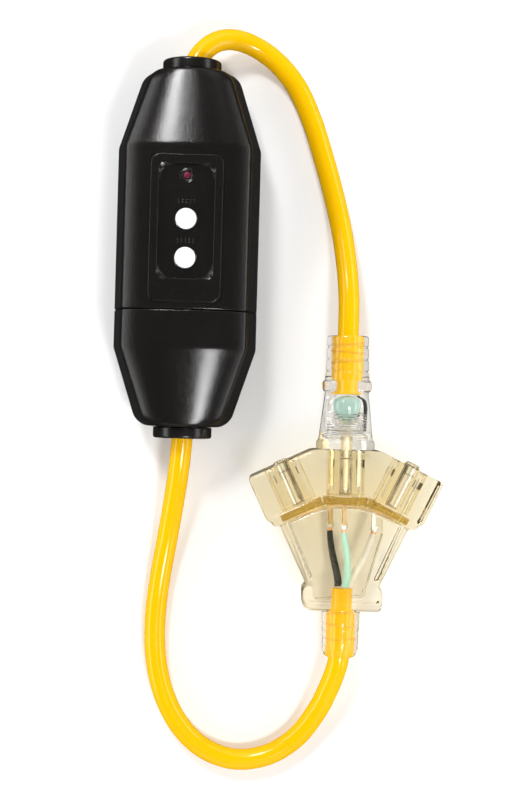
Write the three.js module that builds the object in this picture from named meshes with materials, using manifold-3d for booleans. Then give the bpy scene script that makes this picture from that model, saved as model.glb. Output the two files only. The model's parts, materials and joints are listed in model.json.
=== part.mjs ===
// An in-line ground-fault tester on a short extension lead: a black module with TEST and RESET buttons,
// a clear moulded plug and a clear amber connector with three outlets fanned side by side.
// The plug is parked in the connector's middle outlet, and the lead's two runs close the loop.
//
// Frame (mm): the module lies on its flat back. The origin is the middle of that back face,
// +Z points out of the button face, +Y along the module to its line end, +X towards the connector.

import * as THREE from "three";
import { mergeVertices } from "three/addons/utils/BufferGeometryUtils.js";
import Module from "manifold-3d";

const wasm = await Module();
wasm.setup();

// ---- driving dimensions ----------------------------------------------------------------------------

const GAP = 0.3; // clearance between touching or nested pieces

// module housing
const MODULE_HALF = 84.5; // half its length, without the collars
const MODULE_WAIST_TOP = 47.5; // |y| where the straight middle ends and the end cones start
const MODULE_HALF_WIDTH = 34;
const MODULE_END_HALF_WIDTH = 22;
const MODULE_SPLIT_Z = 20; // front and rear shells meet here
const MODULE_TOP_Z = 44;
const MODULE_END_TOP_Z = 37;
const MODULE_END_BOTTOM_Z = 3;
const MODULE_END_ROUND = 6; // rounding where a cone meets the end wall
const WALL = 2.6;
const CROSS_SEAM_Y = -29.7; // the covers over the load end start here

// button face
const PAD = { halfWidth: 17, low: -26.3, high: 42.5, z: 44.3, corner: 5 };
const PANEL = { halfWidth: 13, low: -15.6, high: 38.1, z: 42.6, corner: 3, floor: 2.2 };
const BUTTONS = [
  { name: "test", y: 12.4, travel: 1.8 },
  { name: "reset", y: -5.7, travel: 2.2 },
];
const BUTTON_RADIUS = 5;
const BUTTON_TOP_Z = 44.2;
const BUTTON_FLANGE_RADIUS = 6.2;
const INDICATOR_Y = 32.7;

// inside the module
const BOARD = { halfWidth: 21.5, low: -27, high: 58, z: 12, thick: 1.6 };
const MECHANISM = { halfWidth: 14, low: -14, high: 19, top: 29.5 };
const SENSOR_Y = 46.3;
const SOLENOID = { y: 25.4, z: 21, from: -13, to: 5 };
const SCREW_PLACES = [
  [20.5, 64],
  [26, -18],
  [20.5, -64],
];
const SCREW = { headRadius: 3, headHeight: 2, shankRadius: 1.5, recessReach: 2, recessHalf: 0.4,
  recessDepth: 1 };
const SCREW_HEAD_Z = 0.9;
const SCREW_TIP_Z = 31.5;
const SCREW_BORE = 1.8;
const REAR_BOSS_RADIUS = 4.2;
const FRONT_BOSS_RADIUS = 3.8;
const GROMMET_NECK = 11; // radius of a collar's neck in the end wall

// lead
const CORD_RADIUS = 5;
const WIRE_RADIUS = 1.9;
const COLLAR_RADIUS = 14;
const COLLAR_END = 90; // |y| of the collars' outer faces
const JACKET_END = 72; // |y| where the lead's jacket stops inside the module

// plug and connector, both on one axis beside the module
const AXIS_X = 78.4;
const AXIS_Z = 16.5;
const FACE_Y = -93.5; // the middle outlet's face
const PLUG_TOP_Y = -38.9;
const PLUG_JACKET_Y = -67;
const FOOT_Y = -158.4;
const TAIL_Y = -193.2;
const CONNECTOR_JACKET_Y = -160.3;

// a two-pole-and-earth outlet: spacing of the slots and size of the blades
const SLOT_X = 6.35;
const SLOT_Z = AXIS_Z - 4.4;
const GROUND_Z = SLOT_Z + 11.9;
const BLADE_THICK = 1.5;
const HOT_BLADE_WIDTH = 6.35;
const NEUTRAL_BLADE_WIDTH = 7.9;
const BLADE_LENGTH = 17.5;
const GROUND_PIN_RADIUS = 2.38;
const GROUND_PIN_LENGTH = 20.6;

// the fan of outlets
const FAN_RADIUS = 71.5; // from the point where the outlet axes meet to each face
const FAN_STEP = THREE.MathUtils.degToRad(25.5);
const HEAD_DEPTH = 23.5;
const HEAD_TOP_Z = 33;
const INSERT = { halfWidth: 8.7, low: 5.6, high: 29, depth: 21.5 };
const WEDGE = { low: 4.5, high: 28.5, top: [30.4, -130.5], foot: [17.5, -157.7] };

// ---- materials -------------------------------------------------------------------------------------

const plastic = (color, roughness = 0.4) =>
  new THREE.MeshStandardMaterial({ color, roughness, metalness: 0 });
const metal = (color, roughness = 0.3) =>
  new THREE.MeshStandardMaterial({ color, roughness, metalness: 1 });
const clear = (color, opacity) =>
  new THREE.MeshStandardMaterial({ color, opacity, transparent: true, roughness: 0.1, metalness: 0 });

const HOUSING = plastic(0x151514, 0.35);
const RUBBER = plastic(0x101010, 0.6);
const BUTTON = plastic(0xf2f1ec, 0.4);
const LENS = clear(0x8a2a3c, 0.8);
const FIBREGLASS = plastic(0x2f6b3c, 0.5);
const NYLON = plastic(0xe9e4d4, 0.5);
const EPOXY = plastic(0x25282c, 0.5);
const VARISTOR = plastic(0x2b5fa0, 0.4);
const COPPER = metal(0xc87a4a);
const BRASS = metal(0xd8b25a);
const STEEL = metal(0xb9bcc0);
const NICKEL = metal(0xcfcfcc, 0.2);
const JACKET = plastic(0xfdcf0c, 0.3);
const BLACK_WIRE = plastic(0x2a2d2a, 0.5);
const WHITE_WIRE = plastic(0xf1efe6, 0.5);
const GREEN_WIRE = plastic(0x8fcbb2, 0.5);
const CLEAR_VINYL = clear(0xf2f0ec, 0.35);
const AMBER_VINYL = clear(0xecd9a8, 0.45);
const AMBER_INSERT = clear(0xe2b95c, 0.6);
const LAMP = plastic(0xb0d4c4, 0.3);

const assembly = new THREE.Group();

// ---- solids ----------------------------------------------------------------------------------------

// a closed three.js geometry as a manifold-3d solid
function solid(geometry) {
  const bare = geometry.clone();
  bare.deleteAttribute("normal");
  bare.deleteAttribute("uv");
  const merged = mergeVertices(bare, 1e-4);
  return new wasm.Manifold(
    new wasm.Mesh({
      numProp: 3,
      vertProperties: merged.attributes.position.array,
      triVerts: new Uint32Array(merged.index.array),
    }),
  );
}

function geometryOf(body) {
  const mesh = body.getMesh();
  const geometry = new THREE.BufferGeometry();
  geometry.setAttribute("position", new THREE.BufferAttribute(new Float32Array(mesh.vertProperties), 3));
  geometry.setIndex(new THREE.BufferAttribute(new Uint32Array(mesh.triVerts), 1));
  const flat = geometry.toNonIndexed();
  flat.computeVertexNormals();
  return flat;
}

function add(name, body, material, group = assembly) {
  const geometry = body.isBufferGeometry ? body : geometryOf(body);
  const mesh = new THREE.Mesh(geometry, material);
  mesh.name = name;
  group.add(mesh);
  return mesh;
}

const union = (bodies) => bodies.reduce((sum, body) => sum.add(body));
const cut = (body, tools) => tools.reduce((left, tool) => left.subtract(tool), body);
const moved = (geometry, x, y, z) => solid(geometry.translate(x, y, z));

// a box from its lowest to its highest corner
function box(low, high) {
  const size = high.map((value, axis) => value - low[axis]);
  const middle = high.map((value, axis) => (value + low[axis]) / 2);
  return moved(new THREE.BoxGeometry(...size), ...middle);
}

// a solid turned about the line x = cx, z = cz; the profile holds [radius, y] from one end to the other
function turnedY(profile, cx = 0, cz = 0, sides = 20) {
  const points = profile.map(([radius, y]) => new THREE.Vector2(radius, y));
  if (points[0].y > points[points.length - 1].y) points.reverse();
  return moved(new THREE.LatheGeometry(points, sides), cx, 0, cz);
}

// the same about the vertical line x = cx, y = cy; the profile holds [radius, z] upwards
function turnedZ(profile, cx = 0, cy = 0, sides = 20) {
  const points = profile.map(([radius, z]) => new THREE.Vector2(radius, z));
  const geometry = new THREE.LatheGeometry(points, sides).rotateX(Math.PI / 2);
  return moved(geometry, cx, cy, 0);
}

const rodY = (radius, from, to, cx = 0, cz = 0, sides = 16) =>
  turnedY([[0, from], [radius, from], [radius, to], [0, to]], cx, cz, sides);
const rodZ = (radius, from, to, cx = 0, cy = 0, sides = 16) =>
  turnedZ([[0, from], [radius, from], [radius, to], [0, to]], cx, cy, sides);
function rodX(radius, from, to, cy = 0, cz = 0, sides = 16) {
  const rod = new THREE.CylinderGeometry(radius, radius, to - from, sides);
  return moved(rod.rotateZ(Math.PI / 2), (from + to) / 2, cy, cz);
}

// a flat outline in the XY plane, raised from one height to another
function raised(shape, low, high, curveSegments = 2) {
  const settings = { depth: high - low, bevelEnabled: false, curveSegments };
  return moved(new THREE.ExtrudeGeometry(shape, settings), 0, 0, low);
}

function roundedRectangle(x0, y0, x1, y1, radius) {
  const shape = new THREE.Shape();
  shape.moveTo(x0 + radius, y0);
  shape.lineTo(x1 - radius, y0);
  shape.absarc(x1 - radius, y0 + radius, radius, -Math.PI / 2, 0);
  shape.lineTo(x1, y1 - radius);
  shape.absarc(x1 - radius, y1 - radius, radius, 0, Math.PI / 2);
  shape.lineTo(x0 + radius, y1);
  shape.absarc(x0 + radius, y1 - radius, radius, Math.PI / 2, Math.PI);
  shape.lineTo(x0, y0 + radius);
  shape.absarc(x0 + radius, y0 + radius, radius, Math.PI, 1.5 * Math.PI);
  return shape;
}

const outline = (points) => new THREE.Shape(points.map(([x, y]) => new THREE.Vector2(x, y)));

// a round tube, with an even number of sides, along a smooth line through the points
function tube(points, radius, steps, sides = 8) {
  const section = new THREE.Shape();
  section.absarc(0, 0, radius, 0, 2 * Math.PI);
  const knots = points.map((point) => new THREE.Vector3(...point));
  const line = new THREE.CatmullRomCurve3(knots, false, "centripetal");
  return new THREE.ExtrudeGeometry(section, { steps, curveSegments: sides / 2, extrudePath: line });
}

// a closed skin over rings that all hold the same number of points, capped flat at both ends
function lofted(rings) {
  const count = rings[0].length;
  const positions = rings.flat(2);
  const faces = [];
  for (let ring = 0; ring + 1 < rings.length; ring++) {
    for (let i = 0; i < count; i++) {
      const a = ring * count + i;
      const b = ring * count + ((i + 1) % count);
      faces.push(a, b, a + count, b, b + count, a + count);
    }
  }
  const last = (rings.length - 1) * count;
  for (let i = 1; i + 1 < count; i++) {
    faces.push(0, i + 1, i);
    faces.push(last, last + i, last + i + 1);
  }
  const geometry = new THREE.BufferGeometry();
  geometry.setAttribute("position", new THREE.BufferAttribute(new Float32Array(positions), 3));
  geometry.setIndex(faces);
  return solid(geometry);
}

// a pan-head screw with a cross recess, standing on its head with its point up
function screw(x, y, head, tip) {
  const { headRadius, headHeight, shankRadius, recessReach, recessHalf, recessDepth } = SCREW;
  const neck = head + headHeight;
  const body = turnedZ([[0, head], [headRadius - 0.3, head], [headRadius, head + 0.4], [headRadius, neck],
    [shankRadius, neck], [shankRadius, tip - 1.5], [0.4, tip], [0, tip]], x, y, 10);
  const recess = [[recessReach, recessHalf], [recessHalf, recessReach]].map(([a, b]) =>
    box([x - a, y - b, head - 1], [x + a, y + b, head + recessDepth]));
  return cut(body, recess);
}

// a coil spring as its outer sleeve: a ring from one height to the other
const sleeve = (inner, outer, low, high, cx, cy) =>
  turnedZ([[inner, low], [outer, low], [outer, high], [inner, high], [inner, low]], cx, cy, 16);

// ---- module housing --------------------------------------------------------------------------------

// half width, height above the split and depth below it, at a place along the module
function moduleSize(y) {
  const along = Math.max(0, (Math.abs(y) - MODULE_WAIST_TOP) / (MODULE_HALF - MODULE_WAIST_TOP));
  const mix = THREE.MathUtils.lerp;
  const left = Math.max(0, MODULE_END_ROUND - (MODULE_HALF - Math.abs(y)));
  const round = MODULE_END_ROUND - Math.sqrt(Math.max(0, MODULE_END_ROUND ** 2 - left ** 2));
  return {
    width: mix(MODULE_HALF_WIDTH, MODULE_END_HALF_WIDTH, along) - round,
    rise: mix(MODULE_TOP_Z, MODULE_END_TOP_Z, along) - MODULE_SPLIT_Z - 0.6 * round,
    drop: MODULE_SPLIT_Z - mix(0, MODULE_END_BOTTOM_Z, along) - 0.6 * round,
  };
}

// half of the cross-section at y: side 1 is the front shell's, side -1 the rear shell's flat-backed one
function moduleSection(y, side, inset, reach) {
  const { width, rise, drop } = moduleSize(y);
  const w = width - inset;
  const h = (side > 0 ? rise : drop) - inset;
  const points = [];
  const front = side > 0;
  const exponent = front ? 2 / 4.6 : 2 / 4;
  const steps = front ? 8 : 5;
  const flat = front ? 0 : Math.max(2, w - 13);
  const open = w - flat;
  for (let i = 0; i <= steps; i++) {
    const angle = (Math.PI / 2) * (i / steps);
    points.push([flat + open * Math.cos(angle) ** exponent, h * Math.sin(angle) ** exponent]);
  }
  if (front) points[steps][0] = 0;
  else points[steps][0] = flat;
  const mirror = points.slice(0, front ? steps : steps + 1).reverse().map(([x, z]) => [-x, z]);
  const loop = [[w, reach], ...points, ...mirror, [-w, reach]];
  const ring = loop.map(([x, z]) => [x, y, MODULE_SPLIT_Z + side * z]);
  return side > 0 ? ring.reverse() : ring;
}

const END_STATIONS = [0, 0.35, 1.4, 3.4, MODULE_END_ROUND];
const UPPER_STATIONS = [MODULE_WAIST_TOP - 2, MODULE_WAIST_TOP + 2];

// one shell between two places along the module; an end at +-MODULE_HALF is closed by the end wall
function moduleShell(from, to, side) {
  const stations = (low, high) => {
    const inner = [...UPPER_STATIONS.map((y) => -y), ...UPPER_STATIONS];
    const ends = END_STATIONS.map((inset) => MODULE_HALF - inset);
    const all = [...inner, ...ends,
      ...ends.map((y) => -y)].filter((y) => y > low + 0.01 && y < high - 0.01);
    return [low, ...all, high].sort((a, b) => a - b);
  };
  const skin = (low, high, inset, reach) => {
    const rings = stations(low, high).map((y) => moduleSection(y, side, inset, reach));
    return lofted(rings);
  };
  const innerLow = from === -MODULE_HALF ? from + WALL + 0.4 : from - 1;
  const innerHigh = to === MODULE_HALF ? to - WALL - 0.4 : to + 1;
  const outer = skin(from, to, 0, GAP / 2);
  const inner = skin(innerLow, innerHigh, WALL, -1);
  return outer.subtract(inner);
}

const grommetBore = (side) => {
  return rodY(GROMMET_NECK + GAP, side * (MODULE_HALF - WALL - 2), side * (MODULE_HALF + 1), 0,
    MODULE_SPLIT_Z, 20);
};

const boss = (x, y, side) => {
  if (side < 0) {
    return rodZ(REAR_BOSS_RADIUS, 1, MODULE_SPLIT_Z - GAP / 2, x, y, 12);
  }
  return rodZ(FRONT_BOSS_RADIUS, MODULE_SPLIT_Z + GAP / 2, MODULE_TOP_Z - 7, x, y, 12);
};

const screwHole = (x, y, side) => {
  if (side < 0) {
    const well = SCREW.headRadius + GAP;
    const wellTop = SCREW_HEAD_Z + SCREW.headHeight + 0.4;
    const above = MODULE_SPLIT_Z + 1;
    return turnedZ([[0, -1], [well, -1], [well, wellTop], [SCREW_BORE, wellTop], [SCREW_BORE, above],
      [0, above]],
      x, y, 12);
  }
  return rodZ(SCREW_BORE, MODULE_SPLIT_Z - 1, SCREW_TIP_Z + 1.5, x, y, 12);
};

const screwsBetween = (from, to) =>
  SCREW_PLACES.flatMap(([x, y]) => [[x, y], [-x, y]]).filter(([, y]) => y > from && y < to);

function housingPiece(from, to, side) {
  const places = screwsBetween(from, to);
  const ends = [1, -1].filter((end) => (end > 0 ? to === MODULE_HALF : from === -MODULE_HALF));
  const shell = moduleShell(from, to, side);
  const bosses = places.map(([x, y]) => boss(x, y, side));
  const holes = places.map(([x, y]) => screwHole(x, y, side));
  return { body: union([shell, ...bosses]), holes: [...holes, ...ends.map(grommetBore)] };
}

const seamHigh = CROSS_SEAM_Y + GAP / 2;
const seamLow = CROSS_SEAM_Y - GAP / 2;

function frontCover() {
  const { body, holes } = housingPiece(seamHigh, MODULE_HALF, 1);
  const padOutline = roundedRectangle(-PAD.halfWidth, PAD.low, PAD.halfWidth, PAD.high, PAD.corner);
  const pad = raised(padOutline, MODULE_TOP_Z - 3, PAD.z);
  const panelLow = PANEL.z - PANEL.floor;
  const backing = box([-15, PANEL.low - 2, panelLow], [15, PANEL.high + 2, PANEL.z]);
  const panelOutline = roundedRectangle(-PANEL.halfWidth, PANEL.low, PANEL.halfWidth, PANEL.high,
    PANEL.corner);
  const recess = raised(panelOutline, PANEL.z, 50);
  const buttonHoles = BUTTONS.map(({ y }) => rodZ(BUTTON_RADIUS + GAP, 30, 50, 0, y, 20));
  const lensHole = turnedZ([[0, 30], [1.8, 30], [1.8, 41.6], [2.8, 41.6], [2.8, 50], [0, 50]],
    0, INDICATOR_Y, 18);
  return cut(union([body, pad, backing]), [recess, ...buttonHoles, lensHole, ...holes]);
}

function rearCover() {
  const { body, holes } = housingPiece(seamHigh, MODULE_HALF, -1);
  const ribs = [[15, -24], [15, 50], [-15, -24], [-15, 50]].map(([x, y]) =>
    box([x - 1.5, y - 1.5, 1], [x + 1.5, y + 1.5, BOARD.z - GAP]));
  return cut(union([body, ...ribs]), holes);
}

function endCover(side) {
  const { body, holes } = housingPiece(-MODULE_HALF, seamLow, side);
  return cut(body, holes);
}

add("front_cover", frontCover(), HOUSING);
add("rear_cover", rearCover(), HOUSING);
add("end_cover_front", endCover(1), HOUSING);
add("end_cover_rear", endCover(-1), HOUSING);

// a collar that closes the end wall round the lead, with a flared mouth
function grommet(side) {
  const wallIn = MODULE_HALF - WALL - 0.4;
  const bore = CORD_RADIUS + GAP;
  const flange = GROMMET_NECK + 2;
  const profile = [[bore, wallIn - 2.2], [flange, wallIn - 2.2], [flange, wallIn - GAP],
    [GROMMET_NECK, wallIn - GAP],
    [GROMMET_NECK, MODULE_HALF + GAP], [COLLAR_RADIUS, MODULE_HALF + GAP],
    [COLLAR_RADIUS, COLLAR_END - 1.4],
    [COLLAR_RADIUS - 1.4, COLLAR_END], [8.6, COLLAR_END], [7.4, COLLAR_END - 1.6],
    [bore + 0.7, COLLAR_END - 4.5],
    [bore, wallIn - 2.2]];
  const geometry = new THREE.LatheGeometry(profile.map(([radius, y]) => new THREE.Vector2(radius, y)), 20);
  if (side < 0) geometry.rotateX(Math.PI);
  return moved(geometry, 0, 0, MODULE_SPLIT_Z);
}
add("line_grommet", grommet(1), RUBBER);
add("load_grommet", grommet(-1), RUBBER);

SCREW_PLACES.flatMap(([x, y]) => [[x, y], [-x, y]]).forEach(([x, y], index) => {
  add(`housing_screw_${index + 1}`, screw(x, y, SCREW_HEAD_Z, SCREW_TIP_Z), STEEL);
});

// ---- buttons and indicator ---------------------------------------------------------------------------

const panelUnder = PANEL.z - PANEL.floor;

BUTTONS.forEach(({ name, y, travel }) => {
  const flangeTop = panelUnder - GAP;
  const flangeLow = flangeTop - 1.4;
  const stemEnd = name === "test" ? MECHANISM.top - 5 : MECHANISM.top - 6.5;
  const cap = turnedZ([[0, stemEnd], [1.8, stemEnd], [1.8, flangeLow], [BUTTON_FLANGE_RADIUS, flangeLow],
    [BUTTON_FLANGE_RADIUS, flangeTop], [BUTTON_RADIUS, flangeTop], [BUTTON_RADIUS, BUTTON_TOP_Z - 0.6],
    [BUTTON_RADIUS - 0.6, BUTTON_TOP_Z], [0, BUTTON_TOP_Z]], 0, y, 18);
  add(`${name}_button`, cap, BUTTON);
  add(`${name}_button_spring`, sleeve(2.4, 4, MECHANISM.top + GAP, flangeLow - GAP, 0, y), STEEL);
});

// the lens stands in a stepped hole, over the lamp that stands on the board
const lens = turnedZ([[0, 40.6], [1.5, 40.6], [1.5, 41.9], [2.5, 41.9], [2.5, 42.7], [1.6, 43.5],
  [0, 43.9]],
  0, INDICATOR_Y, 16);
add("indicator_lens", lens, LENS);
const led = turnedZ([[0, BOARD.z + BOARD.thick + GAP], [1.1, BOARD.z + BOARD.thick + GAP], [1.1, 33],
  [1.5, 33.5],
  [1.5, 39], [0.8, 40.2], [0, 40.3]], 0, INDICATOR_Y, 12);
add("indicator_led", led, NYLON);

// ---- circuit board and its parts -----------------------------------------------------------------------

const boardTop = BOARD.z + BOARD.thick;
const seat = boardTop + GAP;
const board = box([-BOARD.halfWidth, BOARD.low, BOARD.z], [BOARD.halfWidth, BOARD.high, boardTop]);
add("circuit_board", board, FIBREGLASS);

// the potted pair of current-sensing rings that both live conductors pass through
const sensor = turnedZ([[5.2, seat], [11.6, seat], [12, seat + 0.6], [12, seat + 13.4], [11.4, seat + 14],
  [5.8, seat + 14], [5.2, seat + 13.4], [5.2, seat]], 0, SENSOR_Y, 18);
add("sensor_coil", sensor, EPOXY);

const { y: solenoidY, z: solenoidZ, from: solenoidFrom, to: solenoidTo } = SOLENOID;
const bracket = union([
  box([solenoidFrom, solenoidY - 5, seat], [solenoidTo, solenoidY + 5, seat + 1.2]),
  box([solenoidFrom, solenoidY - 5, seat], [solenoidFrom + 1.4, solenoidY + 5, solenoidZ + 5]),
  box([solenoidTo - 1.4, solenoidY - 5, seat], [solenoidTo, solenoidY + 5, solenoidZ + 5]),
]);
add("solenoid_frame", cut(bracket, [rodX(2.4, -20, 20, solenoidY, solenoidZ, 14)]), STEEL);
const windingEnds = [solenoidFrom + 1.7, solenoidTo - 1.7];
const winding = cut(rodX(5, ...windingEnds, solenoidY, solenoidZ, 20),
  [rodX(2.5, -20, 20, solenoidY, solenoidZ, 14)]);
add("solenoid_winding", winding, COPPER);
const plunger = union([
  rodX(2, solenoidFrom - 2, solenoidTo + 10, solenoidY, solenoidZ, 14),
  rodX(3.8, solenoidTo + 8, solenoidTo + 10.5, solenoidY, solenoidZ, 14),
]);
add("trip_plunger", plunger, STEEL);
const plungerSpring = cut(rodX(3.4, solenoidTo + GAP, solenoidTo + 8 - GAP, solenoidY, solenoidZ, 12),
  [rodX(2.4, -20, 30, solenoidY, solenoidZ, 12)]);
add("plunger_spring", plungerSpring, STEEL);

// the frame that guides both button stems and the contact carrier, open at the sides and below
function mechanismFrame() {
  const { halfWidth, low, high, top } = MECHANISM;
  const block = box([-halfWidth, low, seat], [halfWidth, high, top]);
  const room = box([-halfWidth - 1, low + 2, seat - 1], [halfWidth + 1, high - 2, top - 2]);
  const bores = BUTTONS.map(({ y }) => rodZ(1.8 + GAP, 10, 40, 0, y, 14));
  const armSlots = [-10, 10].map((x) => box([x - 2.4, low - 1, seat - 1], [x + 2.4, low + 3, 25.6]));
  return cut(block, [room, ...bores, ...armSlots]);
}
add("mechanism_frame", mechanismFrame(), NYLON);

const reset = BUTTONS[1];
const carrierZ = 20;
const carrier = union([
  box([-12, reset.y - 2, carrierZ], [12, reset.y + 2, carrierZ + 2.4]),
  box([-4, reset.y - 5, carrierZ - 1.5], [4, reset.y + 5, carrierZ + 2.4]),
]);
const latchBore = rodZ(2.3, 10, 40, 0, reset.y, 14);
const rivetBores = [-10, 10].map((x) => rodZ(1.5, 10, 40, x, reset.y, 12));
add("contact_carrier", cut(carrier, [latchBore, ...rivetBores]), NYLON);
add("contact_spring", sleeve(2.6, 3.8, seat, carrierZ - 1.5 - GAP, 0, reset.y), STEEL);

const CONTACT_POST_Y = -17.9; // the fixed contacts stand clear of the mechanism frame's end wall

// silver contact rivets in the carrier, and the fixed contacts that they press up against
const CONTACT_SIDES = [["hot", -1], ["neutral", 1]];
CONTACT_SIDES.forEach(([name, side]) => {
  const x = 10 * side;
  const rivet = turnedZ([[0, carrierZ - 0.9], [2.2, carrierZ - 0.9], [2.2, carrierZ - GAP],
    [1.2, carrierZ - GAP],
    [1.2, carrierZ + 2.7], [2.2, carrierZ + 2.7], [2.2, carrierZ + 3.6], [0, carrierZ + 3.6]],
    x, reset.y, 14);
  add(`moving_contact_${name}`, rivet, NICKEL);
  const arm = union([
    box([x - 2, CONTACT_POST_Y, carrierZ + 3.9], [x + 2, reset.y + 2, carrierZ + 5.1]),
    box([x - 2, CONTACT_POST_Y, seat], [x + 2, CONTACT_POST_Y + 1.2, carrierZ + 5.1]),
  ]);
  add(`fixed_contact_${name}`, arm, BRASS);
});

add("control_chip", box([13.5, 36, seat], [19.5, 46, seat + 3.4]), EPOXY);
add("surge_varistor", rodX(5.5, -18.7, -14.3, 44, seat + 6, 20), VARISTOR);

// ---- lead inside the module ----------------------------------------------------------------------------

// a saddle that grips the jacket between the end wall and the wires
function cordClamp(side) {
  const near = side * 74.5;
  const far = side * 78.5;
  const block = box([-9, Math.min(near, far), MODULE_SPLIT_Z - 8],
    [9, Math.max(near, far), MODULE_SPLIT_Z + 8]);
  return cut(block, [rodY(CORD_RADIUS + GAP, side * 70, side * 84, 0, MODULE_SPLIT_Z, 20)]);
}
add("line_clamp", cordClamp(1), NYLON);
add("load_clamp", cordClamp(-1), NYLON);

const INNER_WIRE_RADIUS = 1.6;
const hotIn = [[-2.2, 71.5, 21.5], [-2.2, 66, 23], [-2.4, 60, 29.5], [-2.4, 53, 32.4], [-2.4, 48.5, 30.5],
  [-2.3, SENSOR_Y, 26], [-2.3, SENSOR_Y, 15.9]];
add("line_hot_wire", tube(hotIn, INNER_WIRE_RADIUS, 16), BLACK_WIRE);
const neutralIn = hotIn.map(([x, y, z]) => [-x, y, z]);
add("line_neutral_wire", tube(neutralIn, INNER_WIRE_RADIUS, 16), WHITE_WIRE);
CONTACT_SIDES.forEach(([name, side]) => {
  const run = [[2.2 * side, -71.5, 21.5], [2.6 * side, -64, 21.5], [6 * side, -50, 20],
    [9.4 * side, -36, 17.5],
    [10 * side, -25, 15.9], [10 * side, -19.6, 15.9]];
  add(`load_${name}_wire`, tube(run, INNER_WIRE_RADIUS, 12), name === "hot" ? BLACK_WIRE : WHITE_WIRE);
});
const earthRun = [[0, 71.5, 17.6], [0, 66, 15.5], [0, 60, 9.5], [0, 54, 7.4], [0, 0, 7.4], [0, -34, 7.4],
  [0, -50, 9.5], [0, -60, 14.5], [0, -66, 16.6], [0, -71.5, 17.6]];
add("ground_wire", tube(earthRun, INNER_WIRE_RADIUS, 20), GREEN_WIRE);

// ---- lead outside -----------------------------------------------------------------------------------

const LEAD_LIES_Z = 5.25; // centreline height where the lead lies on the surface
const UPPER_ROUTE = [
  [0, JACKET_END, 20], [0, 78, 20], [0.2, 84, 20], [2.3, 91.4, 19.4], [7, 97.6, 17.8], [13, 101.6, 15.2],
  [20.5, 102.8, 11.9], [29.5, 100.6, 8.6], [40, 94.2, 6.2], [50.4, 82.6, LEAD_LIES_Z],
  [58.2, 66.6, LEAD_LIES_Z],
  [64.6, 48, LEAD_LIES_Z], [69.7, 31, 5.6], [74, 13.5, 7.4], [77, -5, 11.2], [78.3, -21, 14.9],
  [AXIS_X, -31, 16.2], [AXIS_X, PLUG_TOP_Y, AXIS_Z], [AXIS_X, -53, AXIS_Z], [AXIS_X, PLUG_JACKET_Y, AXIS_Z],
];
const LOWER_ROUTE = [
  [0, -JACKET_END, 20], [0, -80, 20], [0, -90, 19.9], [-1.1, -104, 17.6], [-3.6, -122, 12],
  [-6.6, -141, 7.2],
  [-9.6, -160, LEAD_LIES_Z], [-11.3, -180, LEAD_LIES_Z], [-10.4, -198, LEAD_LIES_Z],
  [-6.2, -215, LEAD_LIES_Z],
  [1.8, -230, LEAD_LIES_Z], [13.6, -241, LEAD_LIES_Z], [29, -246.2, LEAD_LIES_Z], [45, -243.8, LEAD_LIES_Z],
  [58.4, -235.2, 5.7], [68.4, -221.4, 8.4], [74.6, -207, 12.8], [77.6, -196.5, 15.8],
  [AXIS_X, -188, AXIS_Z],
  [AXIS_X, -176, AXIS_Z], [AXIS_X, CONNECTOR_JACKET_Y, AXIS_Z],
];
add("upper_cord", tube(UPPER_ROUTE, CORD_RADIUS, 30), JACKET);
add("lower_cord", tube(LOWER_ROUTE, CORD_RADIUS, 32), JACKET);

// ---- plug -------------------------------------------------------------------------------------------

const SLOTS = [
  { name: "hot", x: -SLOT_X, width: HOT_BLADE_WIDTH },
  { name: "neutral", x: SLOT_X, width: NEUTRAL_BLADE_WIDTH },
];

// the room that a blade or pin needs, with clearance, on the axis at x
const bladeRoom = ({ x, width }, from, to, extra) =>
  box([AXIS_X + x - BLADE_THICK / 2 - extra, to, SLOT_Z - width / 2 - extra],
    [AXIS_X + x + BLADE_THICK / 2 + extra, from, SLOT_Z + width / 2 + extra]);
const groundRoom = (from, to, extra) => rodY(GROUND_PIN_RADIUS + extra, to, from, AXIS_X, GROUND_Z, 16);
const plugRooms = (from, to, extra) => [...SLOTS.map((slot) => bladeRoom(slot, from, to, extra)),
  groundRoom(from, to, extra)];

const CORE = { neck: 6.5, disc: 11.3, top: -75.6, shoulder: -86, low: -89.3 };
const PLUG_LAMP = { halfWidth: 5.3, halfLength: 3.8, halfHeight: 3.4, y: -71.4, z: AXIS_Z + 2.6 };
const PLUG_WIRE = { radius: 1.3, x: 5, z: AXIS_Z - 1.6 }; // they lie in grooves at the core's sides
const PLUG_FLOOR_Y = FACE_Y + GAP;

function plugBody() {
  const outer = [[0, PLUG_FLOOR_Y], [14, PLUG_FLOOR_Y], [14, -89.6], [13.1, -88.6], [12.4, -84],
    [10.6, -66],
    [11.5, -64.6], [11.5, -61.4], [10.6, -60.4], [10.5, -56.4], [10.1, -55.6], [10.3, -54.8], [10.2, -50.8],
    [9.8, -50], [10, -49.2], [9.9, -45.2], [9.5, -44.4], [9.9, -43.6], [9.9, PLUG_TOP_Y - 0.6],
    [9.3, PLUG_TOP_Y], [0, PLUG_TOP_Y]];
  const bore = [[0, PLUG_TOP_Y + 1], [CORD_RADIUS + GAP, PLUG_TOP_Y + 1],
    [CORD_RADIUS + GAP, PLUG_JACKET_Y - GAP],
    [CORE.neck + GAP, PLUG_JACKET_Y - GAP - 0.8], [CORE.neck + GAP, CORE.shoulder + GAP],
    [CORE.disc + GAP, CORE.shoulder + GAP], [CORE.disc + GAP, CORE.low - GAP], [0, CORE.low - GAP]];
  const rooms = plugRooms(CORE.low + 1, PLUG_FLOOR_Y - 1, GAP);
  return cut(turnedY(outer, AXIS_X, AXIS_Z, 20), [turnedY(bore, AXIS_X, AXIS_Z, 16), ...rooms]);
}

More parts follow.
